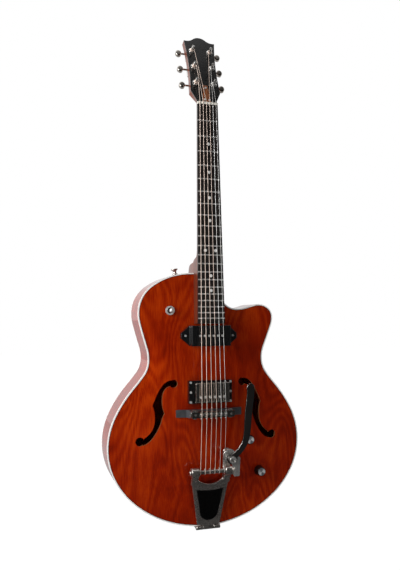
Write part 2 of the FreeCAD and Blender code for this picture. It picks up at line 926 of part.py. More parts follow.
def neck_section(along, half, depth, corner_weight):
    """Flat face under the fingerboard and a rounded back, fuller as its corners weigh more."""
    level = size.board_thickness
    poles = [
        V(half, level, along),
        V(half, level + depth, along),
        V(0, level + depth, along),
        V(-half, level + depth, along),
        V(-half, level, along),
    ]
    weights = (1, corner_weight, 1, corner_weight, 1)
    curve = Part.BSplineCurve()
    curve.buildFromPolesMultsKnots(poles, (3, 2, 3), (0, 0.5, 1), False, 2, weights)
    return Part.Wire([Part.LineSegment(poles[-1], poles[0]).toShape(), curve.toShape()])


def head_wire(level, foot_width):
    """Outline of the headstock in its own frame, at a depth behind its face, of a given width at the nut."""
    half = size.head_width / 2
    neck_half = foot_width / 2

    def spot(shares, side):
        return V(side * half * shares[0], level, size.head_length * shares[1])

    foot = size.head_length * HEAD_NECK_SHARE
    right = [spot(row, 1) for row in (HEAD_LOW_SHARES, HEAD_WAIST_SHARES, HEAD_TOP_SHARES, HEAD_DIP_SHARES)]
    left = [spot(row, -1) for row in (HEAD_LOW_SHARES, HEAD_WAIST_SHARES, HEAD_TOP_SHARES, HEAD_DIP_SHARES)]
    crown = (spot(HEAD_CROWN_SHARES, 1), V(0, level, size.head_length), spot(HEAD_CROWN_SHARES, -1))
    edges = [
        Part.LineSegment(V(-neck_half, level, 0), V(neck_half, level, 0)),
        Part.LineSegment(V(neck_half, level, 0), V(neck_half, level, foot)),
        Part.LineSegment(V(neck_half, level, foot), right[0]),
        Part.Arc(right[0], right[1], right[2]),
        Part.Arc(right[2], right[3], crown[0]),
        Part.Arc(crown[0], crown[1], crown[2]),
        Part.Arc(crown[2], left[3], left[2]),
        Part.Arc(left[2], left[1], left[0]),
        Part.LineSegment(left[0], V(-neck_half, level, foot)),
        Part.LineSegment(V(-neck_half, level, foot), V(-neck_half, level, 0)),
    ]
    return Part.Wire([edge.toShape() for edge in edges])


tuner_spots = [
    (side * size.post_column, size.post_first + index * size.post_spacing, side)
    for side in (-1, 1)
    for index in range(3)
]
head_bores = [
    round_bar(
        size.bush_radius,
        V(across, -size.head_thickness, along),
        V(across, size.head_thickness * 3, along),
    )
    for across, along, _ in tuner_spots
]

shaft_start = joint_along + size.heel_run * HEEL_SHARES[0][0]
nut_end = size.scale_length + size.nut_length
shaft = Part.makeLoft([
    neck_section(nut_end, size.nut_width / 2, size.neck_depth, OVAL_WEIGHT),
    neck_section(shaft_start, board_half(shaft_start), size.neck_heel_depth, OVAL_WEIGHT),
], True, True)
heel_wires = []
for run_share, depth_share in HEEL_SHARES:
    along = joint_along + size.heel_run * run_share
    depth = size.neck_heel_depth + (size.heel_depth - size.neck_heel_depth) * depth_share
    weight = OVAL_WEIGHT + (HEEL_WEIGHT - OVAL_WEIGHT) * depth_share
    heel_wires.append(neck_section(along, board_half(along), depth, weight))
heel = Part.makeLoft(heel_wires, True, False)
tongue_depth = size.board_rise
tongue = prism(polygon([
    V(-board_half(board_end), size.board_thickness, board_end),
    V(board_half(board_end), size.board_thickness, board_end),
    V(board_half(joint_along), size.board_thickness, joint_along),
    V(-board_half(joint_along), size.board_thickness, joint_along),
]), V(0, tongue_depth, 0))
head_wood = Part.makeLoft([
    head_wire(size.veneer_thickness, size.nut_width),
    head_wire(size.head_thickness, size.head_foot_width),
], True, True)
head_wood = moved(head_wood.cut(head_bores), head_local)
channel_half = size.truss_nut_radius + size.channel_clearance
channel_end = nut_end + size.truss_nut_length * 2
channel = block(
    (-channel_half, -size.board_thickness, joint_along + size.heel_run * ROD_SHARE),
    (channel_half, size.truss_depth + channel_half, channel_end),
)
to_neck = neck_place.inverse()
rim_here = moved(rim_block, to_neck)
tongue = tongue.cut(rim_here).cut(moved(top_dome, to_neck))
neck_wood = shaft.fuse(heel).cut(rim_here).fuse(tongue)
nut_block = block(
    (-size.nut_width / 2, -size.nut_rise * 2, size.scale_length),
    (size.nut_width / 2, size.board_thickness, nut_end),
)
neck_wood = neck_wood.fuse(head_wood).cut([channel, nut_block])

screw_spots = []


def screw(shank_length):
    """Round-headed screw whose head stands on y = 0 and whose shank points along +Y."""
    head = Part.makeCylinder(size.screw_head_radius, size.screw_head_height, V(0, 0, 0), FRONT)
    shank = Part.makeCylinder(size.screw_shank_radius, shank_length, V(0, 0, 0), Y_AXIS)
    return head.fuse(shank).removeSplitter()


def screw_at(place):
    """Notes a fastener and returns the hole that its shank needs."""
    screw_spots.append(place)
    return moved(Part.makeCylinder(size.screw_shank_radius, size.screw_length, V(0, 0, 0), Y_AXIS), place)


# Housings stand on the back of the headstock, so their screws point the other way.
gear_radius = GEAR_TEETH * size.worm_pitch / (2 * math.pi)
gear_tip_radius = gear_radius + size.gear_tooth_height / 3
worm_gap = gear_tip_radius + size.worm_core_radius + size.mesh_clearance
gear_level = size.head_thickness + size.housing_depth / 2
housing_low = -size.housing_width / 2
back_turn = FreeCAD.Rotation(X_AXIS, 180)
housing_tab = size.screw_head_radius * 2 + size.housing_wall
tab_thickness = size.housing_wall
head_screw_holes = []
for across, along, side in tuner_spots:
    spot = V(across, size.head_thickness + tab_thickness, along + housing_low - housing_tab / 2)
    head_screw_holes.append(screw_at(head_place.multiply(FreeCAD.Placement(spot, back_turn))))
neck_global = moved(neck_wood, neck_place).cut(head_screw_holes)
piece("neck", neck_global)

cover_screw_spots = (
    V(0, -size.cover_thickness, size.cover_length * 0.84),
    V(-size.cover_base_width * 0.3, -size.cover_thickness, size.cover_length * 0.14),
    V(size.cover_base_width * 0.3, -size.cover_thickness, size.cover_length * 0.14),
)
cover_screw_length = size.cover_thickness + size.veneer_thickness
veneer = prism(head_wire(0, size.nut_width), V(0, size.veneer_thickness, 0)).cut(head_bores)
veneer = veneer.cut([moved(cutter, head_local.inverse()) for cutter in (channel, nut_block)])
cover_screws = [
    moved(screw(cover_screw_length), FreeCAD.Placement(spot, FreeCAD.Rotation()))
    for spot in cover_screw_spots
]
piece("headstock_veneer", veneer.cut(cover_screws), head_place)

cover = body_of("CoverBlank", head_place)
pad(cover, "CoverPad", (
    ("-Sizes.cover_base_width / 2", "0"),
    ("Sizes.cover_base_width / 2", "0"),
    ("Sizes.cover_top_width / 2", "Sizes.cover_length"),
    ("-Sizes.cover_top_width / 2", "Sizes.cover_length"),
), "Sizes.cover_thickness")
doc.recompute()
cover_cutter = helper("CoverScrewHoles", group(cover_screws), head_place)
cut_by("truss_rod_cover", cover, cover_cutter)

board = body_of("BoardBlank", neck_place.multiply(at(0, size.board_thickness, 0)))
board_far = "Sizes.scale_length"
board_near = f"Sizes.scale_length * pow(2; -{FRETS} / 12) - Sizes.board_overhang"
pad(board, "BoardPad", (
    ("-Sizes.board_end_width / 2", board_near),
    ("Sizes.board_end_width / 2", board_near),
    ("Sizes.nut_width / 2", board_far),
    ("-Sizes.nut_width / 2", board_far),
), "Sizes.board_thickness")
crown = doc.addObject("Part::Cylinder", "BoardCrown")
crown.setExpression("Radius", "Sizes.board_radius")
crown.setExpression("Height", "Sizes.scale_length")
crown.Placement = neck_place.multiply(at(0, size.board_radius, 0))
crowned = doc.addObject("Part::Common", "CrownedBoard")
crowned.Base = board
crowned.Tool = crown


def fret_place(number):
    """Distance of a fret from the bridge."""
    return size.scale_length * 2 ** (-number / 12)


def crown_bar(radius, low, high):
    """Disc of the fingerboard's crown between two places along the neck."""
    return Part.makeCylinder(radius, high - low, V(0, size.board_radius, low), Z_AXIS)


board_prism = prism(polygon([
    V(-board_half(board_end), -size.board_thickness, board_end),
    V(board_half(board_end), -size.board_thickness, board_end),
    V(board_half(size.scale_length), -size.board_thickness, size.scale_length),
    V(-board_half(size.scale_length), -size.board_thickness, size.scale_length),
]), V(0, size.board_thickness * 2, 0))
dots = []
dot_spots = [(0.0, number) for number in MARKED_FRETS]
dot_spots += [(side * size.nut_width / 4, DOUBLE_DOT_FRET) for side in (-1, 1)]
board_crown = crown_bar(size.board_radius, 0, size.scale_length)
for across, number in dot_spots:
    along = (fret_place(number) + fret_place(number - 1)) / 2
    rod = Part.makeCylinder(size.dot_radius, size.dot_depth * 4, V(across, -size.dot_depth, along), Y_AXIS)
    dot_floor = size.dot_depth + size.nut_width ** 2 / size.board_radius / 8
    disc = block(
        (-size.nut_width, -size.dot_depth, along - size.nut_width),
        (size.nut_width, dot_floor, along + size.nut_width),
    )
    dots.append(rod.common(disc).common(board_crown))
dot_piece = piece("position_dots", group(dots), neck_place)
cut_by("fingerboard", crowned, dot_piece)

frets = []
for number in range(1, FRETS + 1):
    along = fret_place(number)
    low = along - size.fret_width / 2
    high = along + size.fret_width / 2
    ring = crown_bar(size.board_radius + size.fret_height, low, high).cut(
        crown_bar(size.board_radius, low - size.overrun, high + size.overrun))
    frets.append(ring.common(board_prism))
piece("frets", group(frets), neck_place)

nut_crown = crown_bar(size.board_radius + size.nut_rise, size.scale_length, nut_end)
piece("nut", nut_block.common(nut_crown), neck_place)

rod_start = joint_along + size.heel_run * ROD_SHARE + size.channel_clearance
rod = round_bar(size.truss_radius, V(0, size.truss_depth, rod_start), V(0, size.truss_depth, nut_end))
rod_nut = round_bar(
    size.truss_nut_radius,
    V(0, size.truss_depth, nut_end),
    V(0, size.truss_depth, nut_end + size.truss_nut_length),
)
piece("truss_rod", rod.fuse(rod_nut), neck_place)

# Tuners, in the headstock's frame: y behind its face, z up from the nut

bush = body_of("BushMaster")
turning(bush, "BushTurning", (
    ("Sizes.post_radius + Sizes.shaft_clearance", "Sizes.head_thickness"),
    ("Sizes.bush_radius", "Sizes.head_thickness"),
    ("Sizes.bush_radius", "0"),
    ("Sizes.bush_flange_radius", "0"),
    ("Sizes.bush_flange_radius", "-Sizes.bush_flange_height * 0.7"),
    ("Sizes.bush_flange_radius * 0.8", "-Sizes.bush_flange_height"),
    ("Sizes.post_radius + Sizes.shaft_clearance", "-Sizes.bush_flange_height"),
))
doc.recompute()
piece("tuner_bushes", group(
    moved(bush.Shape, head_place.multiply(at(across, 0, along))) for across, along, _ in tuner_spots
))


def worm_shaft(side):
    """Button shaft with its worm: a core with one round thread, and the plain shaft out to the button."""
    half = size.worm_half_length
    core = round_bar(size.worm_core_radius, V(-size.housing_width / 2, 0, 0), V(size.housing_width / 2, 0, 0))
    turns = 2 * int(half / size.worm_pitch)
    start = V(-turns / 2 * size.worm_pitch, 0, 0)
    lead_radius = size.worm_core_radius + size.thread_radius - size.thread_bury
    found = coil_points(start, X_AXIS, V(0, 0, -lead_radius), size.worm_pitch, turns, QUARTER_TURNS)
    thread = tube(coil_edges(found), size.thread_radius)
    wall = size.housing_width / 2 - size.housing_wall
    inner = size.button_place - size.button_width / 2 - size.post_column
    shaft_start = V(side * (wall - size.housing_wall), 0, 0)
    plain = round_bar(size.button_shaft_radius, shaft_start, V(side * inner, 0, 0))
    return core.fuse([thread, plain]).removeSplitter()


def tuner_button(side):
    """Oval finger button, rounded along its rim."""
    across = side * (size.button_place - size.post_column)
    bow = math.sqrt(0.5)
    oval = Part.Ellipse(
        V(across, size.button_thickness / 2, size.button_height / 2),
        V(across + size.button_width / 2, size.button_thickness / 2, 0),
        V(across, size.button_thickness / 2, 0),
    )
    solid = prism(Part.Wire([oval.toShape()]), V(0, -size.button_thickness, 0))
    return solid.makeFillet(size.button_thickness * bow / 2, solid.Edges[:1] + solid.Edges[-1:])


def gear():
    """Wheel with tapered teeth; a gap between teeth faces the worm."""
    root = gear_tip_radius - size.gear_tooth_height
    wheel = Part.makeCylinder(root, size.gear_height, V(0, -size.gear_height / 2, 0), Y_AXIS)
    bury = root * 0.9
    tooth = prism(polygon([
        V(-size.gear_root_width / 2, -size.gear_height / 2, bury),
        V(size.gear_root_width / 2, -size.gear_height / 2, bury),
        V(size.gear_tip_width / 2, -size.gear_height / 2, gear_tip_radius),
        V(-size.gear_tip_width / 2, -size.gear_height / 2, gear_tip_radius),
    ]), V(0, size.gear_height, 0))
    teeth = []
    for index in range(GEAR_TEETH):
        turn = FreeCAD.Rotation(Y_AXIS, (index + 0.5) * 360 / GEAR_TEETH)
        teeth.append(moved(tooth, FreeCAD.Placement(V(0, 0, 0), turn)))
    return wheel.fuse(teeth).removeSplitter()


post_end = gear_level + size.gear_height / 2 + size.mesh_clearance
post_bar = round_bar(size.post_radius, V(0, -size.post_rise, 0), V(0, post_end, 0))
post_master = post_bar.fuse(moved(gear(), at(0, gear_level, 0))).removeSplitter()
shaft_masters = {side: worm_shaft(side) for side in (-1, 1)}
button_masters = {side: tuner_button(side) for side in (-1, 1)}


def housing(side):
    """Cast cup that covers the gears, with a screw tab and bores for the button shaft."""
    half = size.housing_width / 2
    wall = size.housing_wall
    low = -half
    high = low + size.housing_height
    back = size.head_thickness + size.housing_depth
    cup = block((-half, size.head_thickness, low), (half, back, high))
    cup = cup.cut(block(
        (-half + wall, size.head_thickness - wall, low + wall),
        (half - wall, back - wall, high - wall),
    ))
    tab_half = size.screw_head_radius + wall
    tab = block(
        (-tab_half, size.head_thickness, low - housing_tab),
        (tab_half, size.head_thickness + tab_thickness, low),
    )
    outer = V(side * half * 2, gear_level, worm_gap)
    middle = V(0, gear_level, worm_gap)
    inner = V(-side * half * 2, gear_level, worm_gap)
    bores = [
        round_bar(size.button_shaft_radius + size.shaft_clearance, middle, outer),
        round_bar(size.worm_core_radius + size.shaft_clearance, middle, inner),
    ]
    return cup.fuse(tab).cut(bores)


housing_masters = {side: housing(side) for side in (-1, 1)}
housings = []
for number, (across, along, side) in enumerate(tuner_spots, start=1):
    here = head_place.multiply(at(across, 0, along))
    housings.append(moved(housing_masters[side], here))
    piece(f"tuner_post_{number}", moved(post_master, here))
    worm_here = here.multiply(at(0, gear_level, worm_gap))
    button = shaft_masters[side].fuse(button_masters[side]).removeSplitter()
    piece(f"tuner_button_{number}", moved(button, worm_here))
housing_group = group(housings)
screw_bodies = [moved(screw(size.screw_length), place) for place in screw_spots]
piece("tuner_housings", housing_group.cut(screw_bodies))

# Pickups

neck_pickup = body_of("NeckCoverBlank", at(0, rim_front, size.neck_pickup_place))
pad(neck_pickup, "EarPad", (
    ("-Sizes.ear_span / 2", "-Sizes.ear_tip_width / 2"),
    ("-Sizes.neck_pickup_width / 2", "-Sizes.neck_pickup_length / 2"),
    ("Sizes.neck_pickup_width / 2", "-Sizes.neck_pickup_length / 2"),
    ("Sizes.ear_span / 2", "-Sizes.ear_tip_width / 2"),
    ("Sizes.ear_span / 2", "Sizes.ear_tip_width / 2"),
    ("Sizes.neck_pickup_width / 2", "Sizes.neck_pickup_length / 2"),
    ("-Sizes.neck_pickup_width / 2", "Sizes.neck_pickup_length / 2"),
    ("-Sizes.ear_span / 2", "Sizes.ear_tip_width / 2"),
), "Sizes.ear_rise")
cover_sides = rectangle("Sizes.neck_pickup_width", "Sizes.neck_pickup_length")
pad(neck_pickup, "CoverRise", cover_sides, "Sizes.neck_pickup_rise")
doc.recompute()
full_volume = neck_pickup.Shape.Volume
pocket(neck_pickup, "CoverHollow", rectangle(
    "Sizes.neck_pickup_width - 2 * Sizes.cover_wall", "Sizes.neck_pickup_length - 2 * Sizes.cover_wall"
), "Sizes.neck_pickup_rise - Sizes.cover_wall")
doc.recompute()
assert neck_pickup.Shape.Volume < full_volume * 0.8


def string_across(number, spread):
    """Place of a string across the neck; string 0 is the thickest."""
    return spread * (number / (STRINGS - 1) - 0.5)


def spread_at(along):
    """Outer string spacing at a distance from the bridge."""
    share = along / size.scale_length
    return size.string_spread_bridge + (size.string_spread_nut - size.string_spread_bridge) * share


def poles(place, offset, rise, wall):
    """Row of pole screws through a pickup's cover."""
    spread = spread_at(place - size.bridge_place)
    made = []
    for number in range(STRINGS):
        start = V(string_across(number, spread), front(rise - wall - size.coil_clearance), place + offset)
        end = V(start.x, front(rise + size.pole_height), start.z)
        made.append(round_bar(size.pole_radius, start, end))
    return made


neck_poles = poles(size.neck_pickup_place, 0, size.neck_pickup_rise, size.cover_wall)
bridge_poles = poles(
    size.bridge_pickup_place, -size.pole_row_offset, size.bridge_pickup_rise, size.shield_wall
)
piece("pole_screws", group(neck_poles + bridge_poles))
ear_screw_place = (size.ear_span + size.neck_pickup_width) / 4
ear_screws = [at(side * ear_screw_place, front(size.ear_rise), size.neck_pickup_place) for side in (-1, 1)]
ear_screw_length = size.ear_rise - size.top_arch / 4
ear_bodies = [moved(screw(ear_screw_length), place) for place in ear_screws]
arch_tool = helper("TopSurface", top_dome)
neck_holes = helper("NeckCoverHoles", group(neck_poles + ear_bodies))
cut_by("neck_pickup_cover", neck_pickup, arch_tool, neck_holes)

ring = body_of("RingBlank", at(0, rim_front, size.bridge_pickup_place))
pad(ring, "RingPad", rectangle("Sizes.ring_width", "Sizes.ring_length"), "Sizes.ring_rise")
pocket(ring, "RingOpening", rectangle(
    "Sizes.bridge_pickup_width + 2 * Sizes.ring_clearance",
    "Sizes.bridge_pickup_length + 2 * Sizes.ring_clearance",
), "Sizes.ring_rise")
ring_screw_across = size.ring_width / 2 - size.screw_head_radius * 1.4
ring_screw_along = size.ring_length / 2 - size.screw_head_radius * 1.4
ring_screw_length = size.ring_rise - size.top_arch
ring_bodies = []
for side in (-1, 1):
    for end in (-1, 0, 1):
        screw_along = size.bridge_pickup_place + end * ring_screw_along
        spot = at(side * ring_screw_across, front(size.ring_rise), screw_along)
        ring_bodies.append(moved(screw(ring_screw_length), spot))
ring_holes = helper("RingHoles", group(ring_bodies))
cut_by("bridge_pickup_ring", ring, arch_tool, ring_holes)

shield_depth = size.ring_rise / 2
shield = body_of("ShieldBlank", at(0, front(shield_depth), size.bridge_pickup_place))
pad(shield, "ShieldPad", rectangle("Sizes.bridge_pickup_width", "Sizes.bridge_pickup_length"),
    "Sizes.bridge_pickup_rise - Sizes.ring_rise / 2")
pocket(shield, "ShieldHollow", rectangle(
    "Sizes.bridge_pickup_width - 2 * Sizes.shield_wall", "Sizes.bridge_pickup_length - 2 * Sizes.shield_wall"
), "Sizes.bridge_pickup_rise - Sizes.ring_rise / 2 - Sizes.shield_wall")
shield_holes = helper("ShieldHoles", group(bridge_poles))
cut_by("bridge_pickup_cover", shield, shield_holes)


def coil(across, place, width, length, low, high, rods):
    """Wound coil block under a cover, with room for the pole screws."""
    solid = block(
        (across - width / 2, front(high), place - length / 2),
        (across + width / 2, front(low), place + length / 2),
    )
    return solid.cut(rods)


room = 2 * size.coil_clearance
bridge_coil_width = size.bridge_pickup_width - 2 * size.shield_wall - room
bridge_coil_length = size.bridge_pickup_length / 2 - size.shield_wall - room
bridge_coil_top = size.bridge_pickup_rise - size.shield_wall - size.coil_clearance
coils = [coil(
    0, size.neck_pickup_place, neck_rout_width - room, neck_rout_length - room,
    0, size.neck_pickup_rise - size.cover_wall - size.coil_clearance, neck_poles,
)]
for end in (-1, 1):
    coil_along = size.bridge_pickup_place + end * size.bridge_pickup_length / 4
    coils.append(coil(
        0, coil_along, bridge_coil_width, bridge_coil_length, shield_depth, bridge_coil_top, bridge_poles
    ))
piece("pickup_coils", group(coils))

# Bridge

bridge_along = size.bridge_place - size.bridge_setback
base = body_of("BridgeBaseBlank", at(0, 0, bridge_along - size.base_length / 2))
centre_edge = "Sizes.base_centre_width / 2"
rim_word = "Sizes.rim_depth / 2"
pad(base, "BasePad", (
    ("-Sizes.base_width / 2", f"-{rim_word}"),
    ("Sizes.base_width / 2", f"-{rim_word}"),
    ("Sizes.base_width / 2", f"-({rim_word} + Sizes.wing_rise)"),
    (f"{centre_edge} + Sizes.base_length / 3", f"-({rim_word} + Sizes.wing_rise * 1.15)"),
    (centre_edge, f"-({rim_word} + Sizes.base_rise)"),
    (f"-{centre_edge}", f"-({rim_word} + Sizes.base_rise)"),
    (f"-({centre_edge} + Sizes.base_length / 3)", f"-({rim_word} + Sizes.wing_rise * 1.15)"),
    ("-Sizes.base_width / 2", f"-({rim_word} + Sizes.wing_rise)"),
), "Sizes.base_length", "XY_Plane")
bridge_low = size.bridge_rise
wheel_low = bridge_low - size.thumbwheel_height
bridge_posts = []
wheels = []
for side in (-1, 1):
    across = side * size.post_span / 2
    foot = V(across, front(size.base_rise - size.bridge_post_bury), bridge_along)
    post_top = V(across, front(bridge_low + size.bridge_height), foot.z)
    bridge_posts.append(round_bar(size.bridge_post_radius, foot, post_top))
    wheel_foot = V(across, front(wheel_low), foot.z)
    wheels.append(round_bar(size.thumbwheel_radius, wheel_foot, V(across, front(bridge_low), foot.z)))
base_holes = helper("BaseHoles", group(bridge_posts))
cut_by("bridge_base", base, arch_tool, base_holes)
piece("bridge_posts", group(bridge_posts))
piece("bridge_thumbwheels", group(wheel.cut(bridge_posts) for wheel in wheels))

bridge_top = bridge_low + size.bridge_height
bridge = body_of("BridgeBodyBlank", at(0, front(bridge_low), bridge_along))
pad(bridge, "BridgePad", rectangle("Sizes.bridge_width", "Sizes.bridge_length"), "Sizes.bridge_height")
slot_half = (size.string_spread_bridge + size.saddle_width) / 2 + size.seat_gap
slot_low = bridge_top - size.saddle_slot_depth
saddle_slot = block(
    (-slot_half, front(bridge_top + size.overrun), bridge_along - size.saddle_slot_length / 2),
    (slot_half, front(slot_low), bridge_along + size.saddle_slot_length / 2),
)
string_base = size.board_rise + size.fret_height + size.action_rise


def string_radius(number):
    """Radius of a string; string 0 is the thickest."""
    share = number / (STRINGS - 1)
    return (size.thick_string + (size.thin_string - size.thick_string) * share) / 2


def crown_drop(radius, across):
    """How far a crowned surface falls away at a distance from the centre line."""
    return radius - math.sqrt(radius ** 2 - across ** 2)


saddles = []
screws_long = []
for number in range(STRINGS):
    across = string_across(number, size.string_spread_bridge)
    top_rise = string_base - crown_drop(size.board_radius, across)
    left = across - size.saddle_width / 2
    low_end = bridge_along - size.saddle_length / 2
    high_end = bridge_along + size.saddle_length / 2
    shoulder_rise = top_rise - size.saddle_length / 3
    ridge = polygon([
        V(left, front(slot_low), low_end),
        V(left, front(slot_low), high_end),
        V(left, front(shoulder_rise), high_end),
        V(left, front(top_rise), bridge_along),
        V(left, front(shoulder_rise), low_end),
    ])
    level = front(slot_low + size.saddle_slot_depth / 2)
    tail = V(across, level, bridge_along - size.bridge_length / 2 - size.saddle_screw_radius * 2)
    tip = V(across, level, bridge_along)
    rod = round_bar(size.saddle_screw_radius, tail, tip)
    screws_long.append(rod)
    saddles.append(prism(ridge, V(size.saddle_width, 0, 0)).cut(rod))
bridge_tool = helper("BridgeCuts", group([saddle_slot] + bridge_posts + screws_long))
cut_by("bridge_body", bridge, bridge_tool)
piece("bridge_saddles", group(saddles))
piece("saddle_screws", group(screws_long))

# Vibrato tailpiece, in the frame's own tilted frame: y behind its middle plane, z up from the hinge pin

half_frame = size.frame_thickness / 2
bracket_plate = block(
    (-size.hinge_half_width, front(size.hinge_rise), -size.bracket_thickness),
    (size.hinge_half_width, front(size.hinge_rise) + size.bracket_reach, 0),
)
hinge_centre = V(0, front(size.hinge_rise), -size.hinge_drop)
knuckles = []
for side in (-1, 1):
    start = hinge_centre + V(side * (size.hinge_inner_half + size.hinge_clearance), 0, 0)
    knuckles.append(round_bar(size.hinge_radius, start, hinge_centre + V(side * size.hinge_half_width, 0, 0)))
pin_end = size.hinge_half_width + size.hinge_clearance
hinge_pin = round_bar(size.hinge_pin_radius, hinge_centre - V(pin_end, 0, 0), hinge_centre + V(pin_end, 0, 0))
clear_middle = block(
    (-size.hinge_inner_half - size.hinge_clearance, front(size.hinge_rise * 4), -size.hinge_radius * 2),
    (size.hinge_inner_half + size.hinge_clearance, front(-size.hinge_clearance), size.hinge_radius * 2),
)
bracket = bracket_plate.cut(clear_middle).fuse(knuckles).cut([hinge_pin, rim_block])
piece("tail_bracket", bracket)
piece("tailpiece_hinge_pin", hinge_pin)

low_half = size.frame_low_width / 2
top_half = size.frame_top_width / 2
neck_up = size.hinge_radius + size.hinge_clearance * 2
shoulder_up = neck_up + size.hinge_radius * 0.6
bow_depth = size.frame_length * 0.12
frame_edge = [
    V(-size.hinge_inner_half, 0, 0),
    V(size.hinge_inner_half, 0, 0),
    V(size.hinge_inner_half, 0, neck_up),
    V(low_half, 0, shoulder_up),
    V(top_half, 0, size.frame_length),
    V(size.boss_inner, 0, size.frame_length),
]
frame_lines = [Part.LineSegment(start, end).toShape() for start, end in zip(frame_edge, frame_edge[1:])]
frame_lines.append(Part.Arc(
    frame_edge[-1], V(0, 0, size.frame_length - bow_depth), V(-size.boss_inner, 0, size.frame_length)
).toShape())
mirrored_edge = [V(-point.x, 0, point.z) for point in reversed(frame_edge[1:])]
frame_lines += [
    Part.LineSegment(start, end).toShape() for start, end in zip(mirrored_edge, mirrored_edge[1:])
]
frame_plate = prism(Part.Wire(frame_lines), V(0, size.frame_thickness, 0)).translated(V(0, -half_frame, 0))
frame_plate = frame_plate.fuse(round_bar(
    size.hinge_radius, V(-size.hinge_inner_half, 0, 0), V(size.hinge_inner_half, 0, 0)
))
axle_spot = V(0, -size.axle_lift, size.axle_along)
ears = []
for side in (-1, 1):
    inner = V(side * size.boss_inner, 0, 0)
    outer = V(side * size.boss_outer, 0, 0)
    ears.append(round_bar(size.boss_radius, axle_spot + inner, axle_spot + outer))
    web = polygon([
        V(side * size.boss_inner, half_frame, size.frame_length - bow_depth),
        V(side * size.boss_inner, -half_frame, size.frame_length - bow_depth),
        axle_spot + inner + V(0, -size.boss_radius * 0.8, 0),
        axle_spot + inner + V(0, size.boss_radius * 0.8, size.boss_radius * 0.5),
    ])
    ears.append(prism(web, V(side * (top_half - size.boss_inner), 0, 0)))
seat_top = size.spring_seat_drop
seat_low = seat_top + size.spring_seat_thickness
seat_spot = V(size.spring_across, seat_low, size.spring_along)
seat_radius = size.spring_radius + size.spring_wire / 2 + size.spring_gap
seat_disc = Part.makeCylinder(seat_radius, size.spring_seat_thickness, seat_spot, FRONT)
seat_arm = prism(polygon([
    V(size.boss_inner, seat_low, size.spring_along),
    V(size.boss_inner, seat_top, size.spring_along),
    V(size.boss_inner, half_frame, size.axle_along + size.boss_radius * 0.5),
    V(size.boss_inner, -half_frame, size.axle_along),
    V(size.boss_inner, half_frame, size.frame_length - bow_depth),
]), V(2 * (size.spring_across - size.boss_inner), 0, 0))
panel_half_top = top_half - size.boss_radius * 1.3
panel_half_low = low_half - size.boss_radius * 0.6
panel_top = size.frame_length - bow_depth * 1.75
panel_low = bow_depth + size.hinge_radius * 4
panel_wire = Part.Wire([edge.toShape() for edge in (
    Part.LineSegment(V(panel_half_low, 0, panel_low), V(panel_half_top, 0, panel_top)),
    Part.Arc(
        V(panel_half_top, 0, panel_top),
        V(0, 0, panel_top - bow_depth * 0.3),
        V(-panel_half_top, 0, panel_top),
    ),
    Part.LineSegment(V(-panel_half_top, 0, panel_top), V(-panel_half_low, 0, panel_low)),
    Part.Arc(
        V(-panel_half_low, 0, panel_low),
        V(0, 0, panel_low - bow_depth),
        V(panel_half_low, 0, panel_low),
    ),
)])
panel_recess = prism(panel_wire, V(0, size.panel_depth, 0)).translated(V(0, -half_frame, 0))
panel_plate = prism(panel_wire.makeOffset2D(-size.panel_clearance), V(0, size.panel_depth, 0))
bearing_bores = []
bearings = []
axle_running = size.axle_radius + size.shaft_clearance
for side in (-1, 1):
    inner = axle_spot + V(side * size.boss_inner, 0, 0)
    outer = axle_spot + V(side * size.boss_outer, 0, 0)
    bore = round_bar(size.bearing_radius, inner, outer)
    bearing_bores.append(bore)
    bearings.append(bore.cut(round_bar(axle_running, inner, outer)))
pin_hole = round_bar(size.hinge_pin_radius, V(-pin_end, 0, 0), V(pin_end, 0, 0))
whole_frame = frame_plate.fuse(ears + [seat_disc, seat_arm]).removeSplitter()
whole_frame = whole_frame.cut(bearing_bores + [pin_hole, panel_recess])
piece("tailpiece_frame", moved(whole_frame, frame_place))
piece("tailpiece_panel", panel_plate.translated(V(0, -half_frame, 0)), frame_place)
piece("axle_bearings", group(bearings), frame_place)

hub_inner = size.boss_outer + size.hub_gap
hub_outer = hub_inner + size.hub_width
axle_bar = round_bar(
    size.axle_radius, axle_spot - V(size.boss_outer + size.axle_nub, 0, 0), axle_spot + V(hub_outer, 0, 0)
)
pins = []
for number in range(STRINGS):
    start = axle_spot + V(string_across(number, size.string_spread_bridge), 0, 0)
    pins.append(round_bar(size.pin_radius, start, start + V(0, 0, size.axle_radius + size.pin_length)))
axle = axle_bar.fuse(pins).removeSplitter()
piece("string_axle", axle, frame_place)

rocker_low = -size.rocker_lift
rocker_up = V(0, -size.rocker_thickness, 0)
hub = round_bar(size.boss_radius, axle_spot + V(hub_inner, 0, 0), axle_spot + V(hub_outer, 0, 0))
cheek = prism(polygon([
    axle_spot + V(hub_inner, 0, -size.boss_radius),
    axle_spot + V(hub_inner, 0, size.boss_radius),
    V(hub_inner, rocker_low - size.rocker_thickness, size.arm_stud_along),
    V(hub_inner, rocker_low - size.rocker_thickness, size.axle_along - size.boss_radius),
]), V(size.hub_width, 0, 0))
cap_radius = size.rocker_cap_radius
cap_spot = V(size.rocker_cap_across, rocker_low, size.rocker_cap_along)
cap_disc = Part.makeCylinder(cap_radius, size.rocker_thickness, cap_spot, FRONT)
clear_of_boss = size.axle_along + size.boss_radius + size.hub_gap
cap_web = prism(polygon([
    V(hub_outer, rocker_low, clear_of_boss),
    V(hub_outer, rocker_low, size.arm_stud_along),
    V(size.rocker_cap_across, rocker_low, size.rocker_cap_along + cap_radius),
    V(size.rocker_cap_across - cap_radius * 0.6, rocker_low, size.rocker_cap_along - cap_radius * 0.8),
    V(hub_inner, rocker_low, clear_of_boss),
]), rocker_up)
stud_top = rocker_low - size.rocker_thickness
eye_low = stud_top - size.arm_gap
eye_top = eye_low - size.arm_thickness
stud_spot = V(size.arm_stud_across, rocker_low, size.arm_stud_along)
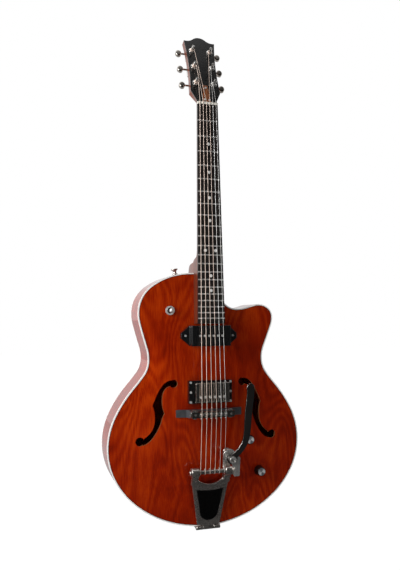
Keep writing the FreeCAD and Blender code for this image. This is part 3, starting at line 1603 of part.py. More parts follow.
stud_shank = round_bar(size.arm_stud_radius, stud_spot, V(stud_spot.x, eye_top - size.arm_gap, stud_spot.z))
stud_head = round_bar(
    size.arm_stud_head_radius,
    V(stud_spot.x, eye_top - size.arm_gap, stud_spot.z),
    V(stud_spot.x, eye_top - size.arm_gap - size.arm_stud_head_height, stud_spot.z),
)
rocker = hub.fuse([cheek, cap_disc, cap_web]).removeSplitter().cut([axle_bar, stud_shank])
dish_centre = cap_spot + rocker_up - V(0, size.dish_radius - size.dish_depth, 0)
rocker = rocker.cut(Part.makeSphere(size.dish_radius, dish_centre))
piece("rocker_bracket", rocker, frame_place)
head_top = V(stud_spot.x, eye_top - size.arm_gap - size.arm_stud_head_height, stud_spot.z)
socket = round_bar(size.arm_stud_socket_radius, head_top, head_top + V(0, size.arm_stud_socket_depth, 0))
piece("arm_stud", stud_shank.fuse(stud_head).cut(socket), frame_place)


def arm_bar():
    """Flat bar along the arm, square to its run, with a round tip."""
    rows = []
    for across, along, lift, wide in ARM_SHARES:
        level = eye_low - lift * size.arm_length
        spot = V(stud_spot.x + across * size.arm_length, level, stud_spot.z + along * size.arm_length)
        width = size.arm_neck_width + (size.arm_handle_width - size.arm_neck_width) * wide
        rows.append((spot, width))
    wires = []
    for index, (low, width) in enumerate(rows):
        run = rows[min(index + 1, len(rows) - 1)][0] - rows[max(index - 1, 0)][0]
        side = V(run.z, 0, -run.x).normalize() * (width / 2)
        high = low - V(0, size.arm_thickness, 0)
        wires.append(polygon([low - side, low + side, high + side, high - side]))
    tip = Part.makeCylinder(width / 2, size.arm_thickness, low, side.cross(run))
    return Part.makeLoft(wires, True, False).fuse(tip)


eye_foot = V(stud_spot.x, eye_low, stud_spot.z)
arm_eye = Part.makeCylinder(size.arm_eye_radius, size.arm_thickness, eye_foot, FRONT)
arm_bore = round_bar(
    size.arm_stud_radius + size.shaft_clearance,
    V(stud_spot.x, rocker_low, stud_spot.z),
    V(stud_spot.x, eye_top - size.arm_thickness, stud_spot.z),
)
piece("vibrato_arm", arm_bar().fuse(arm_eye).cut(arm_bore), frame_place)

spring_low = seat_top - size.spring_wire / 2
spring_high = rocker_low + size.spring_wire / 2 + size.spring_gap
spring_pitch = (spring_low - spring_high) / SPRING_TURNS
spring_start = V(size.spring_across, spring_low, size.spring_along)
spring_arm = V(size.spring_radius, 0, 0)
spring_found = coil_points(spring_start, FRONT, spring_arm, spring_pitch, SPRING_TURNS, QUARTER_TURNS)
spring_fine = coil_points(spring_start, FRONT, spring_arm, spring_pitch, SPRING_TURNS, FINE_TURNS)
print("vibrato spring: least gap to itself %.2f mm" % least_gap(spring_fine, size.spring_wire, FINE_TURNS))
piece("vibrato_spring", tube(coil_edges(spring_found), size.spring_wire / 2), frame_place)

# Strings: a wrap round the axle, over the saddle and the nut, and a sleeve of turns on the tuner post


def corner_arc(before, corner, after, radius):
    """Tangent points and edge of a bend at a corner of a string."""
    first = V(before - corner).normalize()
    second = V(after - corner).normalize()
    half = first.getAngle(second) / 2
    cut = radius / math.tan(half)
    start = corner + first * cut
    end = corner + second * cut
    edge, _ = arc_from(start, first * -1, end)
    return start, end, edge


def string(number):
    """One string, from its end on the axle to the sleeve of turns on its tuner post."""
    radius = string_radius(number)
    across = string_across(number, size.string_spread_bridge)
    saddle_rise = string_base - crown_drop(size.board_radius, across) + radius + size.seat_gap / 2
    saddle = V(across, front(saddle_rise), bridge_along)
    nut_across = string_across(number, size.string_spread_nut)
    crown = size.board_radius + size.nut_rise
    nut_level = crown_drop(crown, nut_across) - size.nut_rise - radius - size.seat_gap / 2
    nut_spot = neck_place.multVec(V(nut_across, nut_level, nut_end))

    middle = STRINGS // 2
    side = -1 if number < middle else 1
    order = number if number < middle else STRINGS - 1 - number
    post_along = size.post_first + order * size.post_spacing
    axis_point = V(side * size.post_column, 0, post_along)
    wrap_radius = size.post_radius + radius + size.wrap_clearance
    pitch = 2 * radius + size.wrap_gap
    wrap_foot = V(axis_point.x, -size.bush_flange_height - size.wrap_gap, axis_point.z)
    wrap_top = wrap_foot - V(0, pitch * POST_WRAPS + 2 * radius, 0)
    post_top = wrap_top + V(0, radius, 0)
    nut_local = head_place.inverse().multVec(nut_spot)
    toward = V(post_top.x - nut_local.x, 0, post_top.z - nut_local.z)
    reach = toward.Length
    lean = math.asin(wrap_radius / reach)
    toward.normalize()
    spin = FreeCAD.Rotation(Y_AXIS, -side * math.degrees(lean))
    run = spin.multVec(toward)
    arm = V(-side * run.z, 0, side * run.x) * wrap_radius
    arrive = head_place.multVec(post_top + arm)
    wrap_sleeve = round_bar(wrap_radius + radius, wrap_foot, wrap_top)
    wrap_sleeve = wrap_sleeve.cut(round_bar(wrap_radius - radius, wrap_foot, wrap_top))

    axle_centre = frame_place.multVec(axle_spot)
    ring_radius = size.axle_radius + radius + size.wrap_clearance
    rise = axle_centre.y - saddle.y
    ahead = saddle.z - axle_centre.z
    distance = math.hypot(rise, ahead)
    touch = math.atan2(rise, ahead) + math.acos(ring_radius / distance)

    def on_axle(angle):
        outward = V(0, -math.sin(angle), math.cos(angle))
        return V(across, axle_centre.y, axle_centre.z) + outward * ring_radius

    leave = on_axle(touch)
    quarter = math.pi / 2
    wrap = [
        Part.Arc(*(on_axle(touch + turn * quarter) for turn in (2, 1.5, 1))).toShape(),
        Part.Arc(*(on_axle(touch + turn * quarter) for turn in (1, 0.5, 0))).toShape(),
    ]
    bend_start, bend_end, bend = corner_arc(leave, saddle, nut_spot, size.bend_radius)
    turn_start, turn_end, turn = corner_arc(saddle, nut_spot, arrive, size.bend_radius)
    edges = wrap
    edges.append(Part.LineSegment(leave, bend_start).toShape())
    edges.append(bend)
    edges.append(Part.LineSegment(bend_end, turn_start).toShape())
    edges.append(turn)
    edges.append(Part.LineSegment(turn_end, arrive).toShape())
    return tube(edges, radius).fuse(moved(wrap_sleeve, head_place))


piece("strings", group([string(number) for number in range(STRINGS)]))

# Controls


def knob(name):
    """Skirted knob with a raised cap and a hollow underside; y = 0 is its lower edge."""
    made = body_of(name)
    turning(made, name + "Turning", (
        ("Sizes.pot_shaft_radius", "-Sizes.pot_nut_height * 1.6"),
        ("Sizes.knob_radius * 0.82", "-Sizes.pot_nut_height * 1.6"),
        ("Sizes.knob_radius * 0.82", "0"),
        ("Sizes.knob_radius", "0"),
        ("Sizes.knob_radius * 0.97", "-Sizes.knob_height * 0.3"),
        ("Sizes.knob_radius * 0.84", "-Sizes.knob_height * 0.86"),
        ("Sizes.knob_cap_radius", "-Sizes.knob_height * 0.9"),
        ("Sizes.knob_cap_radius", "-Sizes.knob_height"),
        ("0", "-Sizes.knob_height"),
        ("0", "-Sizes.knob_height * 0.8"),
        ("Sizes.pot_shaft_radius", "-Sizes.knob_height * 0.8"),
    ))
    return made


nuts = []
pots = []
for name, across, along in (
    ("volume_knob", size.volume_across, size.volume_along),
    ("tone_knob", size.tone_across, size.tone_along),
):
    edge_rise = seat_rise(across, along, size.knob_radius) + size.knob_gap
    nut_rise = seat_rise(across, along, size.pot_nut_radius)
    pot_top = -size.plate_thickness + surface_rise(across, along) - size.pot_nut_height
    blank = knob(name + "_blank")
    doc.recompute()
    cap = moved(blank.Shape, at(across, front(edge_rise), along))
    shaft_end = V(across, front(edge_rise + size.knob_height * 0.8), along)
    shaft_start = V(across, front(pot_top), along)
    floor = shaft_start - V(0, size.pot_floor_gap, 0)
    piece(name, group([cap, round_bar(size.pot_shaft_radius, floor, shaft_end)]))
    bush_end = V(across, front(nut_rise + size.pot_nut_height), along)
    can = round_bar(size.pot_radius, V(across, front(pot_top - size.pot_depth), along), shaft_start)
    stem = round_bar(size.pot_bush_radius, shaft_start, bush_end)
    bore = round_bar(size.pot_shaft_radius + size.shaft_clearance, shaft_start, bush_end)
    pots.append(can.fuse(stem).cut(bore).removeSplitter())
    nut_ring = round_bar(size.pot_nut_radius, V(across, front(nut_rise), along), bush_end)
    nuts.append(nut_ring.cut(stem))
piece("control_pots", group(pots))

toggle_at = (size.toggle_across, size.toggle_along)
toggle_seat = seat_rise(*toggle_at, size.toggle_nut_radius)
toggle_floor = surface_rise(*toggle_at) - size.plate_thickness - size.pot_nut_height
bush_top = V(toggle_at[0], front(toggle_seat + size.toggle_nut_height), toggle_at[1])
bush_foot = V(toggle_at[0], front(toggle_floor), toggle_at[1])
switch_bush = round_bar(size.toggle_bush_radius, bush_foot, bush_top)
half_switch = size.toggle_body_width / 2
switch_box = block(
    (toggle_at[0] - half_switch, front(toggle_floor), toggle_at[1] - half_switch),
    (toggle_at[0] + half_switch, front(toggle_floor - size.toggle_body_depth), toggle_at[1] + half_switch),
)
pivot_rise = toggle_seat + size.toggle_nut_height - size.toggle_pivot_depth
bore_foot = V(toggle_at[0], front(pivot_rise - size.toggle_bore_radius), toggle_at[1])
switch_bore = round_bar(size.toggle_bore_radius, bore_foot, bush_top)
pin_half = V((size.toggle_bush_radius + size.toggle_bore_radius) / 2, 0, 0)
pivot = V(toggle_at[0], front(pivot_rise), toggle_at[1])
pin_bore = round_bar(size.toggle_pin_radius + size.shaft_clearance, pivot - pin_half, pivot + pin_half)
switch_case = switch_box.fuse(switch_bush).removeSplitter()
piece("toggle_switch_body", switch_case.cut(switch_bore).cut(pin_bore))
nut_foot = V(toggle_at[0], front(toggle_seat), toggle_at[1])
nuts.append(round_bar(size.toggle_nut_radius, nut_foot, bush_top).cut(switch_bush))
piece("control_nuts", group(nuts))
tip = V(toggle_at[0], front(toggle_seat + size.toggle_reach), toggle_at[1])
lever = round_bar(size.toggle_lever_radius, pivot, tip)
ball = Part.makeSphere(size.toggle_tip_radius, tip)
heel_ball = Part.makeSphere(size.toggle_bore_radius - size.shaft_clearance, pivot)
pin_reach = pin_half - V(size.shaft_clearance, 0, 0)
cross_pin = round_bar(size.toggle_pin_radius, pivot - pin_reach, pivot + pin_reach)
piece("toggle_lever", lever.fuse([ball, heel_ball, cross_pin]).removeSplitter())

jack = body_of("JackMaster", FreeCAD.Placement(V(jack_across, 0, jack_along), FreeCAD.Rotation(Z_AXIS, -90)))
turning(jack, "JackTurning", (
    ("0", "-Sizes.jack_length + Sizes.jack_flange_height"),
    ("Sizes.jack_radius", "-Sizes.jack_length + Sizes.jack_flange_height"),
    ("Sizes.jack_radius", "0"),
    ("Sizes.jack_flange_radius", "0"),
    ("Sizes.jack_flange_radius", "Sizes.jack_flange_height"),
    ("Sizes.jack_bore_radius", "Sizes.jack_flange_height"),
    ("Sizes.jack_bore_radius", "Sizes.jack_flange_height - Sizes.jack_bore_length"),
    ("0", "Sizes.jack_flange_height - Sizes.jack_bore_length"),
))
keep(jack, "output_jack")

strap = body_of("StrapButtonMaster")
turning(strap, "StrapTurning", (
    ("0", "0"),
    ("Sizes.button_base_radius", "0"),
    ("Sizes.button_base_radius", "Sizes.button_length * 0.12"),
    ("Sizes.button_waist_radius", "Sizes.button_length * 0.35"),
    ("Sizes.button_waist_radius", "Sizes.button_length * 0.65"),
    ("Sizes.button_flange_radius", "Sizes.button_length * 0.85"),
    ("Sizes.button_flange_radius", "Sizes.button_length"),
    ("0", "Sizes.button_length"),
))
doc.recompute()
shoulder = BASS_SHARES[0]
shoulder_spot = V(size.upper_bout_width / 2 * shoulder[1], 0, size.body_length * shoulder[2])
outward = heading_of(shoulder[3] - 90)
tail_turn = FreeCAD.Placement(V(0, 0, -size.bracket_thickness), FreeCAD.Rotation(Y_AXIS, V(0, 0, -1)))
shoulder_turn = FreeCAD.Placement(shoulder_spot, FreeCAD.Rotation(Y_AXIS, outward))
buttons = [moved(strap.Shape, tail_turn), moved(strap.Shape, shoulder_turn).cut(rim_block)]
piece("strap_buttons", group(buttons))

piece("top_plate", top.cut(top_cutters + ear_bodies + ring_bodies))
cover_screw_bodies = [moved(body, head_place) for body in cover_screws]
piece("mounting_screws", group(screw_bodies + cover_screw_bodies + ear_bodies + ring_bodies))

doc.recompute()
for thing in doc.Objects:
    state = " ".join(thing.State)
    assert "Invalid" not in state and "Error" not in state, f"{thing.Label}: {state}"
for thing in pieces:
    assert not thing.Shape.isNull(), f"{thing.Label} is empty"
    assert thing.Shape.isValid(), f"{thing.Label} is not valid"
    assert thing.Shape.Solids, f"{thing.Label} has no solid"
os.makedirs("parts", exist_ok=True)
for thing in pieces:
    thing.Shape.exportStep(f"parts/{thing.Label}.step")
print(f"{len(pieces)} sub-parts, {sum(len(thing.Shape.Solids) for thing in pieces)} solids")
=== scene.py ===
# %% [markdown]
# # An archtop guitar, dressed
# The solid model of the guitar comes in as a fixed frame: every plate, screw and string has its
# place there. This lesson adds what the solids lack: lacquer, grain, metal and light, and finer
# surfaces where a finger would feel them. We keep the box round the solids, because the dressed
# guitar must not outgrow it.

# %% Load the frame
import json
import math

import bpy
import numpy as np
from mathutils import Matrix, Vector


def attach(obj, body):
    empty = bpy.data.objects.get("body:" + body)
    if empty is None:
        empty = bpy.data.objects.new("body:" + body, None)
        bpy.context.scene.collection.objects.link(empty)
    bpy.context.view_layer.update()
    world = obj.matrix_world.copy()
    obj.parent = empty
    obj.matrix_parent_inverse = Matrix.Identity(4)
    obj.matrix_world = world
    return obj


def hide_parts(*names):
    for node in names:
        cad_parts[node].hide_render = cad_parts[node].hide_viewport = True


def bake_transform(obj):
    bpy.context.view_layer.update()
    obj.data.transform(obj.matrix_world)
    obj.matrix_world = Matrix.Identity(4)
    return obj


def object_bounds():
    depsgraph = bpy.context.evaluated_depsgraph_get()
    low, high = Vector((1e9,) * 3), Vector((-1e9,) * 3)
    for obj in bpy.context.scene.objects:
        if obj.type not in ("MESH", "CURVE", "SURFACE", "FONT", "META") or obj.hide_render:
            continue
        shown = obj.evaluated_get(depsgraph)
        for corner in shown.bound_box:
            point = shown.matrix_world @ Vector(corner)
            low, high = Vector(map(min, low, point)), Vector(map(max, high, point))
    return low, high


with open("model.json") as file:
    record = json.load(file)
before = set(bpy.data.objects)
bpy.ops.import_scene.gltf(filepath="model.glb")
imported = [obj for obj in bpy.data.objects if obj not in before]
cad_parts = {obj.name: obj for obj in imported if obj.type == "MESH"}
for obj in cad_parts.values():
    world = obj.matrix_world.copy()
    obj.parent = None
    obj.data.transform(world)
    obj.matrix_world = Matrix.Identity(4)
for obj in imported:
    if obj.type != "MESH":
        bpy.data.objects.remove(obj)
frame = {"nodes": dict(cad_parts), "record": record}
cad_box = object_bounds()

MM = 0.001

# %% [markdown]
# ## The camera
# The photograph was taken from a little to the left of the guitar and from waist height, with a
# short lens. The lines of the neck and the rim gave the place and the three angles of that camera.
# Blender can turn a camera by three angles, but their order is easy to get wrong. So we work out
# its directions to the right, down and ahead, and put them into a matrix as columns.

# %% Camera
YAW, PITCH, ROLL = np.radians((16.974, 2.979, 0.22))
CAMERA_PLACE = (-0.3785, -1.2348, 0.4223)
PHOTO_HEIGHT = 570
FOCAL_PIXELS = 608.19
SENSOR = 36.0
NEAREST_SEEN = 0.01

ahead = np.array((math.sin(YAW) * math.cos(PITCH), math.cos(YAW) * math.cos(PITCH), math.sin(PITCH)))
level_right = np.array((math.cos(YAW), -math.sin(YAW), 0.0))
level_down = np.cross(ahead, level_right)
right = level_right * math.cos(ROLL) + level_down * math.sin(ROLL)
down = level_down * math.cos(ROLL) - level_right * math.sin(ROLL)
turn = np.eye(4)
turn[:3, :3] = np.column_stack((right, -down, -ahead))
turn[:3, 3] = CAMERA_PLACE

lens = bpy.data.cameras.new("camera")
lens.sensor_fit = "VERTICAL"
lens.sensor_height = SENSOR
lens.lens = FOCAL_PIXELS * SENSOR / PHOTO_HEIGHT
lens.clip_start = NEAREST_SEEN
camera = bpy.data.objects.new("camera", lens)
camera.matrix_world = Matrix(turn.tolist())
bpy.context.scene.collection.objects.link(camera)
bpy.context.scene.camera = camera
bpy.context.scene.view_settings.view_transform = "Standard"
print("lens in mm:", round(lens.lens, 2))

# %% [markdown]
# ## Writing shader maths as Python
# A finish is a network of nodes, and a long network is hard to read as a list of links. A small
# class that wraps a socket lets us write `1 - mask * 0.4` instead: each operator adds one Math
# node. The reflected forms are there so that a plain number can stand on the left.

# %% Sockets as numbers
class Wire:
    """A socket that Python's operators work on; each operation adds one Math node."""

    def __init__(self, paint, socket):
        self.paint = paint
        self.socket = socket

    def math(self, operation, first, second=0.0):
        return self.paint.node("Math", {"operation": operation}, {0: first, 1: second})

    def __add__(self, other):
        return self.math("ADD", self, other)

    def __sub__(self, other):
        return self.math("SUBTRACT", self, other)

    def __rsub__(self, other):
        return self.math("SUBTRACT", other, self)

    def __mul__(self, other):
        return self.math("MULTIPLY", self, other)

    def __gt__(self, other):
        return self.math("GREATER_THAN", self, other)

    def sine(self):
        return self.math("SINE", self)

    def larger(self, other):
        return self.math("MAXIMUM", self, other)

    __radd__ = __add__
    __rmul__ = __mul__


print("reflected operators:", [name for name in vars(Wire) if name.startswith("__r")])

# %% [markdown]
# ## One method for every other node
# Textures, ramps and shaders come from one method, which takes the node's type, its settings and
# what goes into its sockets. Short methods on top of it name the few nodes that a finish uses again
# and again. A material is then one function that returns what feeds the shader.

# %% Paint
class Paint:
    """A node tree that is filled through one method."""

    def __init__(self, tree):
        self.tree = tree
        tree.nodes.clear()

    def node(self, kind, settings, sockets, output=0):
        """Adds a node: its type, its settings, then the values or links of its sockets."""
        made = self.tree.nodes.new("ShaderNode" + kind)
        for name, value in settings.items():
            if name == "stops":
                for spot, colour in value[1:-1]:
                    made.color_ramp.elements.new(spot)
                for element, (spot, colour) in zip(made.color_ramp.elements, value):
                    element.position = spot
                    element.color = (*colour, 1.0)
            else:
                setattr(made, name, value)
        for name, value in sockets.items():
            if isinstance(value, Wire):
                self.tree.links.new(value.socket, made.inputs[name])
            else:
                made.inputs[name].default_value = value
        return Wire(self, made.outputs[output]) if made.outputs else None

    def here(self, scale=(1.0, 1.0, 1.0)):
        """Object coordinates in metres, stretched along the axes."""
        spot = self.node("TexCoord", {}, {}, "Object")
        return self.node("Mapping", {}, {"Vector": spot, "Scale": scale})

    def kept(self, name):
        """A value that the mesh keeps on each of its points."""
        return self.node("Attribute", {"attribute_name": name}, {}, "Fac")

    def ray(self, kind):
        """One where the ray is of a kind: Camera, Glossy or Transmission."""
        return self.node("LightPath", {}, {}, f"Is {kind} Ray")

    def noise(self, where, scale, detail=3.0, rough=0.5, warp=0.0):
        return self.node("TexNoise", {}, {
            "Vector": where, "Scale": scale, "Detail": detail, "Roughness": rough, "Distortion": warp,
        })

    def rise(self, value, start, full, low, high, easing="LINEAR"):
        """A value that goes from low to high between two marks."""
        return self.node("MapRange", {"interpolation_type": easing}, {
            "Value": value, "From Min": start, "From Max": full, "To Min": low, "To Max": high,
        })

    def blend(self, share, first, second):
        """Mix of two colours; numbers alone stay colours of four values."""
        return self.node("Mix", {"data_type": "RGBA"}, {0: share, 6: first, 7: second}, 2)

    def bump(self, height, strength, reach, worn=0.0):
        """Dents in the surface, over edges that are shaded as if rounded to a radius in millimetres."""
        sockets = {"Height": height, "Strength": strength, "Distance": reach}
        if worn:
            sockets["Normal"] = self.node("Bevel", {"samples": 8}, {"Radius": worn * MM})
        return self.node("Bump", {}, sockets)

    def ramp(self, share, *stops):
        return self.node("ValToRGB", {"stops": stops}, {"Fac": share})


def rgb(red, green, blue):
    return (red, green, blue, 1.0)


def finish(name, fixed, varied):
    """A material: fixed values sit on the shader's sockets, varied ones are worked out by nodes."""
    made = bpy.data.materials.new(name)
    made.use_nodes = True
    paint = Paint(made.node_tree)
    shader = paint.node("BsdfPrincipled", {}, {**fixed, **varied(paint)})
    paint.node("OutputMaterial", {}, {"Surface": shader})
    return made


print("paint methods:", [name for name in vars(Paint) if not name.startswith("_")])

# %% [markdown]
# ## The floor
# The photograph is a cut-out on white. A pale floor under the guitar catches a faint shadow, and
# the camera sees it as white. A lit white floor would also show in every screw and in the lacquer,
# so mirrors see a floor that is dim near the guitar and brighter behind it.

# %% Floor
FLOOR_GAP = 0.001
FLOOR_HALF = 6.0
FLOOR_TONE = rgb(0.82, 0.82, 0.82)
FLOOR_WHITE = 1.07
WHITE_SHARE = 0.94
MIRROR_SHARE = 0.97
floor_level = cad_box[0].z - FLOOR_GAP


def from_arrays(name, points, faces):
    """A mesh object from an array of points and a list of faces."""
    mesh = bpy.data.meshes.new(name)
    mesh.from_pydata(points, [], faces)
    mesh.update()
    made = bpy.data.objects.new(name, mesh)
    bpy.context.scene.collection.objects.link(made)
    return made


floor = from_arrays("floor", [
    (-FLOOR_HALF, -FLOOR_HALF, floor_level), (FLOOR_HALF, -FLOOR_HALF, floor_level),
    (FLOOR_HALF, FLOOR_HALF, floor_level), (-FLOOR_HALF, FLOOR_HALF, floor_level),
], [(0, 1, 2, 3)])
pale = bpy.data.materials.new("pale_floor")
pale.use_nodes = True
paint = Paint(pale.node_tree)
matt = paint.node("BsdfDiffuse", {}, {"Color": FLOOR_TONE})
depth = paint.node("SeparateXYZ", {}, {"Vector": paint.here()}, "Y")
fade = paint.rise(depth, start=-0.1, full=0.7, low=0.012, high=0.66)
dim = paint.node("Emission", {}, {"Color": fade, "Strength": 1.0})
white = paint.node("Emission", {}, {"Color": rgb(1, 1, 1), "Strength": FLOOR_WHITE})
lit = paint.node("MixShader", {}, {0: paint.ray("Glossy") * MIRROR_SHARE, 1: matt, 2: dim})
shown = (paint.ray("Camera") + paint.ray("Transmission")) * WHITE_SHARE
surface = paint.node("MixShader", {}, {0: shown, 1: lit, 2: white})
paint.node("OutputMaterial", {}, {"Surface": surface})
floor.data.materials.append(pale)
print("floor at", round(floor_level, 4), "m")

# %% [markdown]
# ## The room and its lamps
# The world is white to the camera from every side. What the metal and the lacquer mirror is the
# room: bright behind, to the left and overhead, dim on the camera's side, as in a real studio. A
# photograph of a studio could stand round the guitar, but three smooth rises of brightness are
# easier to move. One large soft lamp stands to the left and a much weaker one to the right.

# %% Room and lamps
world = bpy.data.worlds.new("studio")
bpy.context.scene.world = world
world.use_nodes = True
paint = Paint(world.node_tree)
way = paint.node("TexCoord", {}, {}, "Generated")


def glow(axis, start, full, low, high):
    """Light that rises smoothly with one direction of the room."""
    share = paint.node("SeparateXYZ", {}, {"Vector": way}, axis)
    return paint.rise(share, start, full, low, high, "SMOOTHSTEP")


behind = glow("Y", start=-0.5, full=0.3, low=0.02, high=0.92)
left = glow("X", start=-0.5, full=-0.8, low=0.0, high=1.15)
overhead = glow("Z", start=0.84, full=0.97, low=0.0, high=1.4)
ambient = glow("Y", start=-0.35, full=0.5, low=0.17, high=0.8)
seen = paint.ray("Camera").larger(paint.ray("Transmission"))
mirrored = paint.ray("Glossy")
strength = seen.larger(mirrored * behind.larger(left).larger(overhead))
strength = strength.larger((1 - seen.larger(mirrored)) * ambient)
sky = paint.node("Background", {}, {"Color": rgb(1, 1, 1), "Strength": strength})
paint.node("OutputWorld", {}, {"Surface": sky})


def lamp(name, place, aim, width, height, power):
    """A soft rectangular lamp that points at a spot."""
    light = bpy.data.lights.new(name, "AREA")
    light.shape = "RECTANGLE"
    light.size = width
    light.size_y = height
    light.energy = power
    made = bpy.data.objects.new(name, light)
    out = np.array(place) - np.array(aim)
    out = out / np.linalg.norm(out)
    side = np.cross((0.0, 0.0, 1.0), out)
    side = side / np.linalg.norm(side)
    made.matrix_world = Matrix(np.vstack((
        np.column_stack((side, np.cross(out, side), out, place)), (0, 0, 0, 1)
    )).tolist())
    bpy.context.scene.collection.objects.link(made)
    return made


key = lamp("key", place=(-1.6, -0.7, 0.92), aim=(0, 0, 0.35), width=0.8, height=1.1, power=31.0)
fill = lamp("fill", place=(1.7, -1.6, 0.8), aim=(0, 0, 0.4), width=0.8, height=1.6, power=0.5)
fill.visible_glossy = False
print("lamps in W:", key.data.energy, fill.data.energy)

# %% [markdown]
# ## Cherry laminate under lacquer
# The top, back and sides are thin sheets peeled from a log, stained cherry and sealed under clear
# gloss. A peeled sheet shows the growth rings as wavy contour lines, with arcs where the knife
# crossed a dip. Blender's wave texture gives rings, but they are too even. The level lines of a
# smooth noise field look just like peeled wood, so we take the sine of the noise. Fine fibres are a
# second noise, stretched along the grain. The clear coat is the shader's own coat, with a slight
# ripple.

# %% Cherry laminate
RING_WAVES = 120.0
RING_SHARE, FIBRE_SHARE, BLOTCH_SHARE = 0.1, 0.44, 0.46
LINE_START, LINE_END = 0.1 * MM, 1.1 * MM
LINE_COLOUR = rgb(0.012, 0.006, 0.004)
LINE_COVER = 0.85
CLEAR_COAT = {"Specular IOR Level": 0.0, "Coat Weight": 1.0, "Coat Roughness": 0.05, "Coat IOR": 1.5}


def laminate(name, fibre, figure, dark, mid, light, line=False):
    """Stained laminate: contour lines of a noise, fine fibres and soft blotches in one colour ramp."""
    def varied(paint):
        field = paint.noise(paint.here(figure), 1.0, 1.5, 0.4, 0.6)
        rings = (field * RING_WAVES).sine() * 0.5 + 0.5
        fibres = paint.noise(paint.here(fibre), 1.0, 4.0, 0.6)
        blotch = paint.noise(paint.here(), 13.0, 2.0, 0.5)
        share = rings * RING_SHARE + fibres * FIBRE_SHARE + blotch * BLOTCH_SHARE
        colour = paint.ramp(share, (0.34, dark), (0.5, mid), (0.66, light))
        if line:
            inset = paint.kept("inset")
            edge = (1 - (inset > LINE_END)) * (inset > LINE_START)
            colour = paint.blend(edge * LINE_COVER, colour, LINE_COLOUR)
        ripple = paint.noise(paint.here(), 60.0, 1.0, 0.4)
        return {
            "Base Color": colour,
            "Roughness": fibres * 0.12 + 0.3,
            "Normal": paint.bump(ripple, 0.04, 0.002),
        }
    return finish(name, CLEAR_COAT, varied)


CHERRY = ((0.16, 0.006, 0.0), (0.275, 0.013, 0.0), (0.43, 0.036, 0.001))
cherry_top = laminate("cherry_top", (900, 900, 22), (9, 9, 3.2), *CHERRY, line=True)
cherry_back = laminate("cherry_back", (900, 900, 22), (7, 7, 2.6), *CHERRY)
cherry_side = laminate("cherry_side", (30, 1200, 30), (5, 14, 5), *CHERRY)
print("laminates:", [made.name for made in (cherry_top, cherry_back, cherry_side)])

# %% [markdown]
# ## Solid woods
# The neck, the fingerboard and the bridge base are sawn from solid wood. Its grain runs straight,
# and open pores show as short dark dashes. One function serves all of them: a noise is drawn out
# along the grain for the streaks, and a finer one is cut off at a level for the pores. The small
# cover on the headstock is burl, whose eyes and swirls come from a noise that is warped.

# %% Solid woods
def solid_wood(name, fibre, dark, light, pores, shine):
    """Straight-grained solid wood: long streaks with short dark pores that dent the surface."""
    def varied(paint):
        streaks = paint.noise(paint.here(fibre), 1.0, 5.0, 0.65)
        wide = paint.noise(paint.here([value / 12 for value in fibre]), 1.0, 2.0, 0.5)
        pore = paint.noise(paint.here([value * 1.7 for value in fibre]), 1.0, 1.0, 0.5) > pores
        share = streaks * 0.6 + wide * 0.4
        colour = paint.ramp(share, (0.34, dark), (0.66, light))
        return {
            "Base Color": paint.blend(pore * 0.6, colour, rgb(*[value * 0.4 for value in dark])),
            "Roughness": streaks * 0.16 + (0.34 - shine * 0.14),
            "Normal": paint.bump(1 - pore, 0.12, 0.0003),
        }
    return finish(name, {"Coat Weight": shine, "Coat Roughness": 0.1}, varied)


mahogany = solid_wood("mahogany", (700, 700, 16), (0.075, 0.014, 0.006), (0.22, 0.05, 0.02),
                      pores=0.64, shine=0.3)
rosewood = solid_wood("rosewood", (1100, 1100, 22), (0.005, 0.004, 0.004), (0.024, 0.018, 0.015),
                      pores=0.63, shine=0.1)
ebony = solid_wood("ebony", (1100, 22, 1100), (0.035, 0.036, 0.04), (0.07, 0.072, 0.078),
                   pores=0.7, shine=0.4)
cut_edge = solid_wood("cut_edge", (30, 1500, 30), (0.14, 0.035, 0.01), (0.34, 0.13, 0.05),
                      pores=0.7, shine=0.2)
bare_wood = solid_wood("bare_wood", (500, 500, 14), (0.42, 0.27, 0.13), (0.66, 0.47, 0.27),
                       pores=0.72, shine=0.0)

BURL_STOPS = (0.3, (0.05, 0.012, 0.004)), (0.5, (0.26, 0.07, 0.018)), (0.7, (0.48, 0.17, 0.05))


def burl_varied(paint):
    """Burl: a noise that is warped by itself into eyes and swirls."""
    swirl = paint.noise(paint.here((1, 1, 0.6)), 120.0, 5.0, 0.6, 3.5)
    return {"Base Color": paint.ramp(swirl, *BURL_STOPS), "Roughness": swirl * 0.2 + 0.22}


burl = finish("burl", {"Coat Weight": 0.9, "Coat Roughness": 0.06}, burl_varied)
print("woods:", [made.name for made in (mahogany, rosewood, ebony, cut_edge, bare_wood, burl)])

# %% [markdown]
# ## Plastics
# Celluloid binding yellows unevenly, and black covers carry a film of fine scratches. An even gloss
# is what gives a drawn surface away, so in each finish a soft noise moves the roughness a little.
# Moulded covers have rounded edges. The Bevel node shades them as round without adding a face.

# %% Plastics
def plastic(name, low, high, dull, coat=0.0, mirror=0.5, worn=0.0):
    """Moulded plastic: two close tones, and a gloss that fine scratches and handling dull."""
    def varied(paint):
        tone = paint.noise(paint.here(), 55.0, 3.0, 0.55)
        scratch = paint.noise(paint.here((90, 90, 2500)), 1.0, 2.0, 0.7)
        return {
            "Base Color": paint.blend(tone, rgb(*low), rgb(*high)),
            "Roughness": scratch * 0.12 + tone * 0.1 + dull,
            "Normal": paint.bump(scratch, 0.03, 0.0002, worn),
        }
    return finish(name, {"Coat Weight": coat, "Coat Roughness": 0.05, "Specular IOR Level": mirror}, varied)


